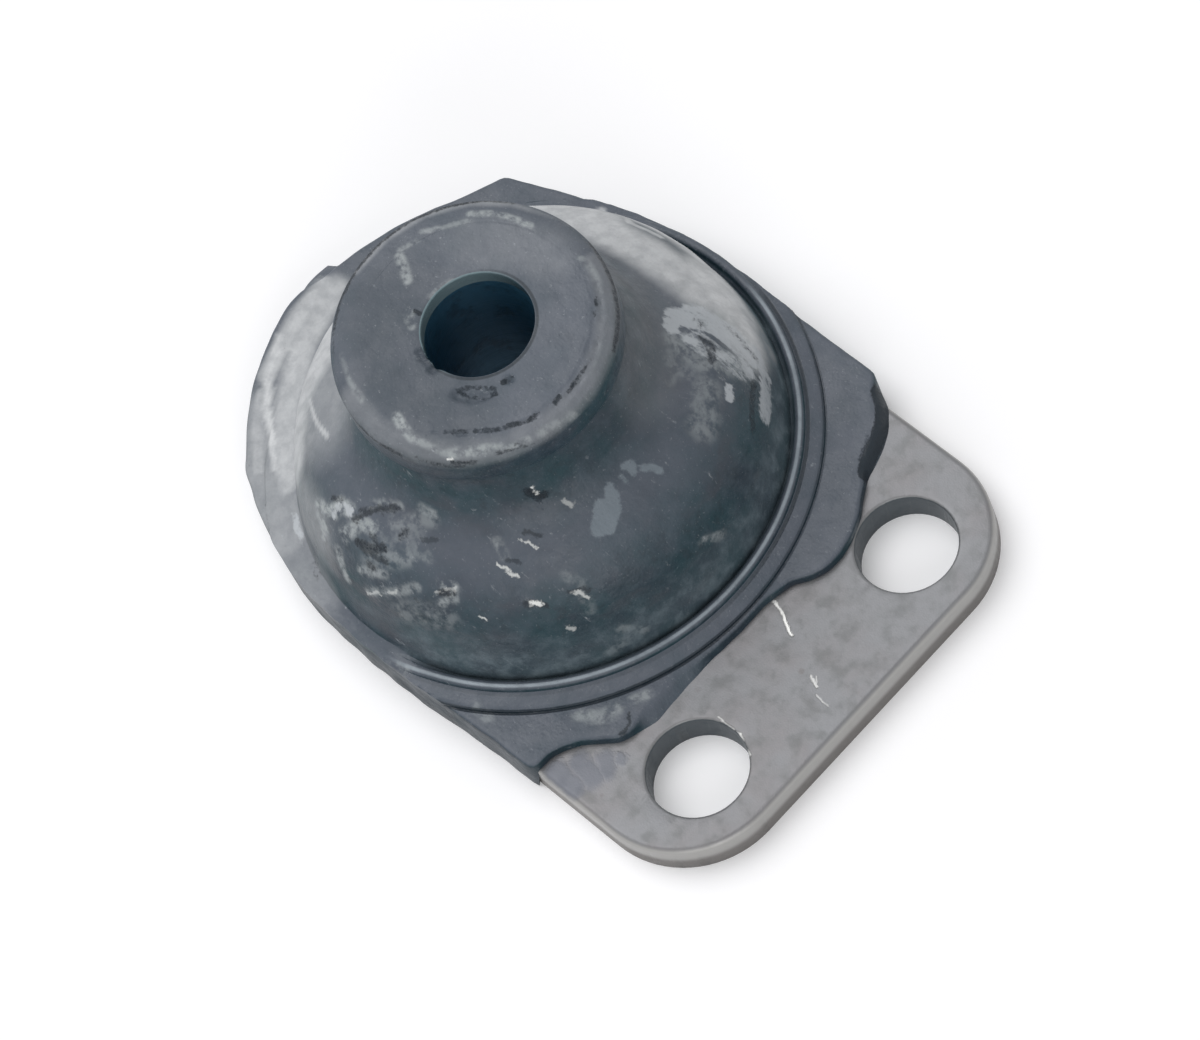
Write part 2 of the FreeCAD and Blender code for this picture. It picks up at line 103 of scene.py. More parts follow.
def finishPiece(name, bm, material, node, sharpAngle):
    bmesh.ops.recalc_face_normals(bm, faces=bm.faces)
    mesh = bpy.data.meshes.new(name)
    bm.to_mesh(mesh)
    bm.free()
    mesh.shade_smooth()
    mesh.set_sharp_from_angle(angle=math.radians(sharpAngle))
    mesh.materials.append(material)
    piece = bpy.data.objects.new(name, mesh)
    bpy.context.scene.collection.objects.link(piece)
    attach(piece, "root")
    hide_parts(node)
    mesh.calc_loop_triangles()
    print(name, "has", len(mesh.loop_triangles), "triangles")


def feed(tree, socket, value):
    # a socket takes another node's output or a plain value
    if isinstance(value, bpy.types.NodeSocket):
        tree.links.new(value, socket)
    else:
        socket.default_value = value


def addNode(tree, kind, inputs=None, **settings):
    node = tree.nodes.new("ShaderNode" + kind)
    for name, value in settings.items():
        setattr(node, name, value)
    for name, value in (inputs or {}).items():
        feed(tree, node.inputs[name], value)
    return node


def addNoise(tree, place, scale, detail, roughness=0.5):
    return addNode(tree, "TexNoise", {"Vector": place, "Scale": scale, "Detail": detail,
                                      "Roughness": roughness}).outputs


def maths(tree, operation, first, second, clamp=False):
    node = addNode(tree, "Math", {0: first, 1: second}, operation=operation, use_clamp=clamp)
    return node.outputs[0]


def times(tree, first, second, clamp=False):
    return maths(tree, "MULTIPLY", first, second, clamp)


def between(tree, mask, low, high):
    # low where the mask is 0, high where it is 1
    return maths(tree, "ADD", low, times(tree, mask, high - low))


def vectorMaths(tree, operation, first, second=(0, 0, 0)):
    node = addNode(tree, "VectorMath", {0: first, 1: second}, operation=operation)
    return node.outputs["Value" if operation in ("DOT_PRODUCT", "LENGTH") else "Vector"]


def flatLength(tree, place):
    # how far a place is from the z axis
    return vectorMaths(tree, "LENGTH", vectorMaths(tree, "MULTIPLY", place, (1, 1, 0)))


def easeBetween(tree, value, low, high, toLow=0.0, toHigh=1.0):
    node = addNode(tree, "MapRange", {"Value": value, "From Min": low, "From Max": high,
                                      "To Min": toLow, "To Max": toHigh},
                   interpolation_type="SMOOTHSTEP")
    return node.outputs["Result"]


def paint(colour):
    # a colour as a picture editor shows it, 0 to 255, as the linear values that shaders take
    if isinstance(colour, bpy.types.NodeSocket):
        return colour
    shares = [c / 255 for c in colour]
    return tuple(c / 12.92 if c <= 0.04045 else ((c + 0.055) / 1.055) ** 2.4
                 for c in shares) + (1.0,)


def cover(tree, colour, over, mask, share=None):
    # one colour laid over another where the mask is, at full strength or at a share of it
    mask = mask if share is None else times(tree, mask, share, clamp=True)
    node = addNode(tree, "Mix", {0: mask, 6: paint(colour), 7: paint(over)}, data_type="RGBA")
    return node.outputs[2]


def millimetres(tree, stretch=(1, 1, 1)):
    # object coordinates in mm; a pattern is drawn out along an axis where stretch is below 1
    place = addNode(tree, "TexCoord").outputs["Object"]
    scale = [share / mm for share in stretch]
    return addNode(tree, "Mapping", {"Vector": place, "Scale": scale}).outputs["Vector"]


def lookingUp(tree):
    normal = addNode(tree, "TexCoord").outputs["Normal"]
    return addNode(tree, "SeparateXYZ", {"Vector": normal}).outputs["Z"]


def patches(tree, place, size, detail, low, high):
    # soft patches about size mm across, their edges from noise value low to high
    lumps = addNoise(tree, place, 1 / size, detail, 0.6)
    return easeBetween(tree, lumps["Fac"], low, high)


def dots(tree, place, spacing, radius, amount):
    # separate round dots: radius is a share of the spacing in mm, amount the share that shows
    cells = addNode(tree, "TexVoronoi", {"Vector": place, "Scale": 1 / spacing})
    luck = addNode(tree, "SeparateColor", {"Color": cells.outputs["Color"]})
    inside = easeBetween(tree, cells.outputs["Distance"], radius, radius * 0.4)
    chosen = maths(tree, "LESS_THAN", luck.outputs["Red"], amount)
    return times(tree, inside, times(tree, chosen, luck.outputs["Green"]))


def ringLine(tree, fromAxis, radius, width):
    # a line right round the object's axis
    aside = maths(tree, "ABSOLUTE", maths(tree, "SUBTRACT", fromAxis, radius), 0.0)
    return easeBetween(tree, aside, width, width * 0.3)


def makeStroke():
    # a node group: a mark along a straight line between two places in mm
    tree = bpy.data.node_groups.new("stroke", "ShaderNodeTree")
    for label in ("Place", "Start", "End"):
        tree.interface.new_socket(label, in_out="INPUT", socket_type="NodeSocketVector")
    tree.interface.new_socket("Width", in_out="INPUT", socket_type="NodeSocketFloat")
    tree.interface.new_socket("Mask", in_out="OUTPUT", socket_type="NodeSocketFloat")
    given = tree.nodes.new("NodeGroupInput").outputs
    fromStart = vectorMaths(tree, "SUBTRACT", given["Place"], given["Start"])
    whole = vectorMaths(tree, "SUBTRACT", given["End"], given["Start"])
    share = maths(tree, "DIVIDE", vectorMaths(tree, "DOT_PRODUCT", fromStart, whole),
                  vectorMaths(tree, "DOT_PRODUCT", whole, whole), clamp=True)
    nearest = addNode(tree, "VectorMath", {0: whole, "Scale": share}, operation="SCALE")
    aside = vectorMaths(tree, "SUBTRACT", fromStart, nearest.outputs["Vector"])
    mask = easeBetween(tree, vectorMaths(tree, "LENGTH", aside), given["Width"],
                       times(tree, given["Width"], 0.3))
    tree.links.new(mask, tree.nodes.new("NodeGroupOutput").inputs["Mask"])
    return tree


stroke = makeStroke()


def unsteady(tree, place, size, reach):
    # the place in mm, shifted by noise, so that a straight stroke comes out uneven
    lumps = addNoise(tree, place, 1 / size, 4.0, 0.7)
    shift = vectorMaths(tree, "SUBTRACT", lumps["Color"], (0.5, 0.5, 0.5))
    shift = vectorMaths(tree, "MULTIPLY", shift, (reach, reach, reach))
    return vectorMaths(tree, "ADD", place, shift)


def addMarks(tree, place, marks):
    # the strongest of several strokes: start, end, width, strength
    total = None
    for start, end, width, strength in marks:
        node = addNode(tree, "Group", {"Place": place, "Start": start, "End": end, "Width": width},
                       node_tree=stroke)
        mask = times(tree, strength, node.outputs["Mask"])
        total = mask if total is None else maths(tree, "MAXIMUM", total, mask)
    return total


def paintedLayer(tree, name):
    # a mask from the piece's own vertices
    return addNode(tree, "Attribute", attribute_name=name).outputs["Fac"]


def tearMask(tree, mask, tear, amount, low, high):
    # a painted mask whose edge and inside are broken by noise
    shift = times(tree, maths(tree, "SUBTRACT", tear, 0.5), amount)
    return easeBetween(tree, maths(tree, "ADD", mask, shift), low, high)


def newMaterial(name):
    material = bpy.data.materials.new(name)
    material.use_nodes = True
    material.node_tree.nodes.clear()
    return material, material.node_tree


def finishMaterial(tree, surface, bumps):
    # bumps: height, depth in mm; each one is laid over the one before
    normal = None
    for height, depth in bumps:
        node = addNode(tree, "Bump", {"Height": height, "Distance": depth * mm, "Strength": 1.0})
        if normal:
            tree.links.new(normal, node.inputs["Normal"])
        normal = node.outputs["Normal"]
    tree.links.new(normal, surface.inputs["Normal"])
    tree.links.new(surface.outputs[0], addNode(tree, "OutputMaterial").inputs["Surface"])


rubber = {
    "dark": (35, 49, 60),
    "darkTeal": (22, 53, 61),
    "light": (64, 79, 89),
    "deep": (24, 37, 46),
    "umber": (60, 60, 67),
    "bloomAndSheen": (86, 92, 102),         # bloom and painted sheen on the faces that look up
    "veilAndSheen": (208, 210, 212),        # dry film on the back and the left, partly painted sheen
    "pale": (184, 189, 194),        # dry scuffs and dust
    "flat": (114, 124, 132),
    "hazeAndRimHighlight": (156, 162, 164),        # thin dry smears, and a painted highlight on the boss's far-left rim
    "chalk": (226, 228, 226),
    "crestHighlight": (152, 162, 170),
    "dirtAndShade": (20, 31, 40),
    "footDustAndLight": (104, 117, 124),
    # painted highlight on the bore's lip
    "lip": (104, 124, 130),
    "rubbedWay": (0.705, 0.12, -0.7),
    "roughness": 0.46,
    "grain": 0.35,                  # mm
    # patches: size in mm, detail, and the noise values between which they fade in
    "clouds": (6, 6, 0.38, 0.64),
    "mottle": (2.2, 6, 0.4, 0.72),
    "deepPatches": (1.5, 5, 0.5, 0.72),
    "umberPatches": (4, 3, 0.52, 0.7),
    "bloomAndSheenClouds": (3.2, 5, 0.2, 0.75),
    "streaks": (1.6, 5, 0.3, 0.68),
    "smears": (1.1, 5, 0.34, 0.62),
    "dust": (0.32, 2, 0.62, 0.78),
    # how far painted marks are torn, and the values between which they fade in
    "scuffTear": (3.4, 0.35, 0.95), "flatTear": (1.5, 0.25, 1), "dirtAndShadeTear": (2.4, 0.3, 1.15),
    # rings: radius and width in mm; the creases' painted shade also its strength on the left and on
    # the right
    "crestRing": (28.2, 0.28), "mouthRing": (6.3, 0.26),
    "creaseShade": [(27.3, 0.3, 0.25, 0.25), (28.95, 0.28, 0.25, 0.85), (30.66, 0.26, 0.85, 0.35)],
    # start, end, width in mm, strength
    "nicksAndChipShadows": [
        ((14, -11.6, 21.6), (15.3, -10.6, 21.2), 0.5, 0.8),
        ((13.9, -14.6, 20.1), (14.9, -14.1, 19.8), 0.4, 0.7),
        ((17.2, -16.2, 16.6), (18.6, -15, 15.9), 0.6, 0.9),
        ((19.9, -12.4, 16.8), (21.1, -11, 16.2), 0.4, 0.8),
        ((12.7, -8.6, 25.1), (13.9, -7.8, 24.1), 0.6, 0.9),
        ((-3.1, -21.2, 19.1), (-0.4, -18.5, 21.2), 0.4, 0.7),
        ((-0.4, -18.5, 21.2), (1.5, -17.7, 21.8), 0.4, 0.7),
        ((12.5, 16.7, 19.5), (14, 16, 19.1), 0.45, 0.7),
        ((-0.9, -22.6, 17.8), (2.3, -22.4, 17.9), 0.6, 0.7),
        ((5.3, -18.6, 20.6), (6.7, -17.7, 20.9), 0.4, 0.6),
        ((28.7, -16.4, 5.2), (29.6, -17.1, 5.2), 0.35, 0.9),
        ((29.6, -17.1, 5.2), (29.8, -18.7, 5.1), 0.35, 0.9),
    ],
    "chips": [
        ((13.1, -8.2, 25.3), (13.5, -8, 24.5), 0.36, 1),
        ((17.6, -15.8, 16.4), (18.2, -15.3, 16.3), 0.42, 1),
        ((7.9, -12.6, 32.8), (8.1, -12.4, 32.8), 0.35, 1),
        ((13.8, -20.1, 15.3), (14.1, -19.9, 15.1), 0.32, 0.7),
        ((14.1, -12.4, 21.1), (15.6, -11.6, 20.6), 0.3, 0.7),
        ((13.3, -15.5, 19.9), (15.4, -15.1, 18.9), 0.3, 0.7),
        ((20.2, -12.2, 16.6), (21.3, -11.5, 15.6), 0.36, 0.6),
        ((20.6, -14.8, 12.9), (21.1, -14.4, 12.4), 0.35, 0.5),
        ((8.8, -21.4, 17), (10.6, -19.8, 17.9), 0.34, 0.4),
        ((15.4, -6.6, 22.9), (16.1, -6.3, 22.3), 0.45, 0.4),
        ((1, -25.3, 13.2), (4.7, -23.7, 15.7), 0.3, 0.4),
    ],
}


def makeRubberMaterial():
    material, tree = newMaterial("mouldedRubber")
    place = millimetres(tree)
    down = millimetres(tree, stretch=(1, 1, 0.22))
    across = millimetres(tree, stretch=(0.4, 0.4, 1.3))
    upward = lookingUp(tree)

    # charcoal with teal clouds, and mauve-grey bloom with painted sheen where it looks up
    clouds = patches(tree, place, *rubber["clouds"])
    colour = cover(tree, rubber["dark"], rubber["darkTeal"], clouds)
    mottle = patches(tree, place, *rubber["mottle"])
    colour = cover(tree, colour, rubber["light"], mottle, 0.45)
    deep = patches(tree, place, *rubber["deepPatches"])
    colour = cover(tree, colour, rubber["deep"], deep, 0.6)
    umber = patches(tree, across, *rubber["umberPatches"])
    colour = cover(tree, colour, rubber["umber"], umber, 0.4)
    bloomAndSheenClouds = patches(tree, place, *rubber["bloomAndSheenClouds"])
    bloomAndSheen = easeBetween(tree, upward, 0.36, 0.94)
    bloomAndSheen = times(tree, bloomAndSheen, between(tree, bloomAndSheenClouds, 0.66, 1.0))
    colour = cover(tree, colour, rubber["bloomAndSheen"], bloomAndSheen)
    colour = cover(tree, colour, rubber["deep"], paintedLayer(tree, "shade"))

    # a dry veil on the far and left flanks, streaked down the wall, partly painted sheen on the far
    # flank
    streaks = patches(tree, down, *rubber["streaks"])
    veilAndSheen = times(tree, paintedLayer(tree, "veilAndSheen"), between(tree, streaks, 0.72, 1.0))
    colour = cover(tree, colour, rubber["veilAndSheen"], veilAndSheen)

    # pale scuffs, broken up along the way the bell was rubbed
    along = vectorMaths(tree, "DOT_PRODUCT", place, rubber["rubbedWay"])
    back = times(tree, along, -0.75)
    drawn = addNode(tree, "VectorMath", {0: rubber["rubbedWay"], "Scale": back}, operation="SCALE")
    drawn = vectorMaths(tree, "ADD", place, drawn.outputs["Vector"])
    rubbed = addNoise(tree, drawn, 1.1, 5.0, 0.65)
    fine = addNoise(tree, place, 2.2, 5.0, 0.75)
    both = addNode(tree, "Mix", {0: 0.25, 2: rubbed["Fac"], 3: fine["Fac"]}).outputs[0]
    # thin dry smears, and a painted highlight along the boss's far-left rim
    smear = patches(tree, place, *rubber["smears"])
    hazeAndRimHighlight = times(tree, paintedLayer(tree, "hazeAndRimHighlight"), smear)
    colour = cover(tree, colour, rubber["hazeAndRimHighlight"], hazeAndRimHighlight, 0.85)
    scuff = tearMask(tree, paintedLayer(tree, "scuff"), both, *rubber["scuffTear"])
    colour = cover(tree, colour, rubber["pale"], scuff, 0.8)
    flats = tearMask(tree, paintedLayer(tree, "flat"), fine["Fac"], *rubber["flatTear"])
    colour = cover(tree, colour, rubber["flat"], flats, 0.9)

    # fine dust; round the bell's foot dust with painted light that lifts the groove's shade, and a
    # painted highlight on the bead's crest
    dust = patches(tree, place, *rubber["dust"])
    colour = cover(tree, colour, rubber["pale"], dust, 0.16)
    parts = addNode(tree, "SeparateXYZ", {"Vector": place}).outputs
    ahead = easeBetween(tree, parts["X"], 3.0, 9.0)
    fromAxis = flatLength(tree, place)
    foot = maths(tree, "SUBTRACT", easeBetween(tree, fromAxis, 25.0, 26.6),
                 easeBetween(tree, fromAxis, 27.4, 27.8))
    foot = times(tree, times(tree, foot, ahead), between(tree, mottle, 0.3, 0.8))
    colour = cover(tree, colour, rubber["footDustAndLight"], foot)
    crestHighlight = ringLine(tree, fromAxis, *rubber["crestRing"])
    crestHighlight = times(tree, times(tree, crestHighlight, ahead), between(tree, bloomAndSheenClouds, 0.45, 1.0))
    colour = cover(tree, colour, rubber["crestHighlight"], crestHighlight)

    # painted shade in the creases, and dirt with painted shade in the torn marks
    rightSide = easeBetween(tree, parts["Y"], -8.0, 12.0)
    creaseShade = 0.0
    for radius, width, left, right in rubber["creaseShade"]:
        line = ringLine(tree, fromAxis, radius, width)
        line = times(tree, line, between(tree, rightSide, left, right))
        creaseShade = maths(tree, "MAXIMUM", creaseShade, line)
    dirtAndShade = tearMask(tree, paintedLayer(tree, "dirtAndShade"), fine["Fac"], *rubber["dirtAndShadeTear"])
    dirtAndShade = maths(tree, "MAXIMUM", dirtAndShade, times(tree, creaseShade, ahead))

    # painted shade on the rubber's steep outer wall in front, below the skin's edge
    front = easeBetween(tree, maths(tree, "SUBTRACT", parts["X"], parts["Y"]), -12.0, 2.0)
    front = times(tree, front, easeBetween(tree, parts["X"], 28.0, 24.0))
    low = times(tree, easeBetween(tree, upward, 0.6, 0.2), easeBetween(tree, parts["Z"], 5.35, 5.0))
    dirtAndShade = maths(tree, "MAXIMUM", dirtAndShade, times(tree, times(tree, low, front), 0.6))

    # dark nicks, fissures and a curl, and painted shadows beside the chalky chips
    shifted = unsteady(tree, place, 1.1, 1.5)
    nicksAndChipShadows = addMarks(tree, shifted, rubber["nicksAndChipShadows"])
    chips = addMarks(tree, shifted, rubber["chips"])
    colour = cover(tree, colour, rubber["dirtAndShade"], maths(tree, "MAXIMUM", dirtAndShade, nicksAndChipShadows))

    # painted shade round the bore's mouth, strongest on the near side, and a painted highlight on
    # its lip on the far left
    farLeft = vectorMaths(tree, "DOT_PRODUCT", place, (-0.98, -0.19, 0))
    farLeft = easeBetween(tree, farLeft, -2.5, 4.8)
    mouthShade = ringLine(tree, fromAxis, *rubber["mouthRing"])
    mouthShade = times(tree, mouthShade, between(tree, farLeft, 0.85, 0.15))
    colour = cover(tree, colour, rubber["dirtAndShade"], mouthShade)
    lip = times(tree, maths(tree, "LESS_THAN", fromAxis, 6.2), farLeft)
    colour = cover(tree, colour, rubber["lip"], lip)
    colour = cover(tree, colour, rubber["chalk"], chips)

    roughness = easeBetween(tree, clouds, 0.0, 1.0, rubber["roughness"] - 0.06,
                            rubber["roughness"] + 0.08)
    dry = times(tree, maths(tree, "MAXIMUM", scuff, veilAndSheen), 0.2)
    roughness = maths(tree, "ADD", roughness, dry, clamp=True)
    surface = addNode(tree, "BsdfPrincipled", {"Base Color": colour, "Roughness": roughness,
                                               "Specular IOR Level": 0.35})
    marks = maths(tree, "SUBTRACT", times(tree, scuff, 0.3), dirtAndShade)
    finishMaterial(tree, surface, [
        (addNoise(tree, place, 0.45, 3.0)["Fac"], 0.25),
        (addNoise(tree, place, 1 / rubber["grain"], 4.0)["Fac"], 0.05), (marks, 0.1),
    ])
    return material


# mm and degrees; z is up from the plate's underside
bell = {
    "steps": 440,
    "boreRadius": 6.15, "seatRadius": 9, "bushEnd": 32, "top": 34,
    "faceRadius": 12.6, "bossRadius": 15.4, "bossEdge": 32.1, "bossUnder": 29.1,
    "faceEdge": [(12.7, 33.98), (13.45, 33.76), (14.25, 33.34), (14.95, 32.78)],
    "neckRadius": 14.6, "shoulderRadius": 14, "wallLean": 13,
    "wallTop": (25.715, 11.8), "wallFoot": (27.1, 5.8),
    "beadRadius": 28.1, "beadSize": 0.6, "beadHeight": 6.2,
    "ringRadius": 30.6, "ringTop": 5.7, "skinTop": 5.2, "skinRound": 0.5,
    "plateTop": 4, "plateRound": 0.7, "openingRadius": 22.5, "mouthRadius": 21.1,
    "hollowRoof": 17, "roofTurn": 9,
    "drawnEdge": 40, "drawnSeat": 38,       # drawn here, then fitted to the real edges
    # how far the outer wall leans out, and the degrees between which it starts and stops
    "endSlopes": [(1, 31, 35, 48, 51), (1.5, -31, -26, -8, 2)],
}

# the rubber's edge seen from above, in mm, once round from the +Y front corner
rubberEdge = [
    (32.2, 15.6), (31, 17.4), (29.9, 19.2), (29.4, 20.8), (28.8, 22.7), (27.7, 24.9),
    (26, 26.7), (24.1, 27.7), (23, 28), (22.4, 28.8), (20.8, 28.8),
    (15, 28.8), (8, 28.8), (0, 28.7), (-6, 28.1), (-12, 26.9), (-18.3, 25.1),
    (-21, 24.2), (-24.3, 22.9), (-26.2, 22.2), (-27.3, 21.8), (-28, 20.2), (-29, 17.8),
    (-31, 14.1), (-32.6, 10.6), (-33.7, 7.2), (-34.5, 3.6), (-35, 0), (-35.8, -2.2),
    (-35.8, -4.2), (-35.3, -6.2), (-34.7, -8), (-33.4, -11), (-31.9, -13.8), (-30, -16.4),
    (-27.7, -19.1), (-24.8, -21.9), (-21.3, -23.8), (-18.3, -25.2), (-15.2, -26.4),
    (-12.2, -27.3), (-9, -27.9), (-6, -28.2), (0, -28.5), (8, -28.4), (14, -27.9),
    (20, -27.6), (24.4, -27.5), (25.3, -27), (25.1, -25.3), (25.6, -23.7), (26.8, -21.9),
    (28.4, -20.4), (29.9, -19.1), (30.4, -17.6), (31.2, -15), (30.9, -8), (31.2, -2),
    (31.1, 1.6), (31.5, 3.6), (31.9, 5.4), (32.8, 6.4), (33.8, 8.6), (33.9, 11), (33.4, 13.2),
]
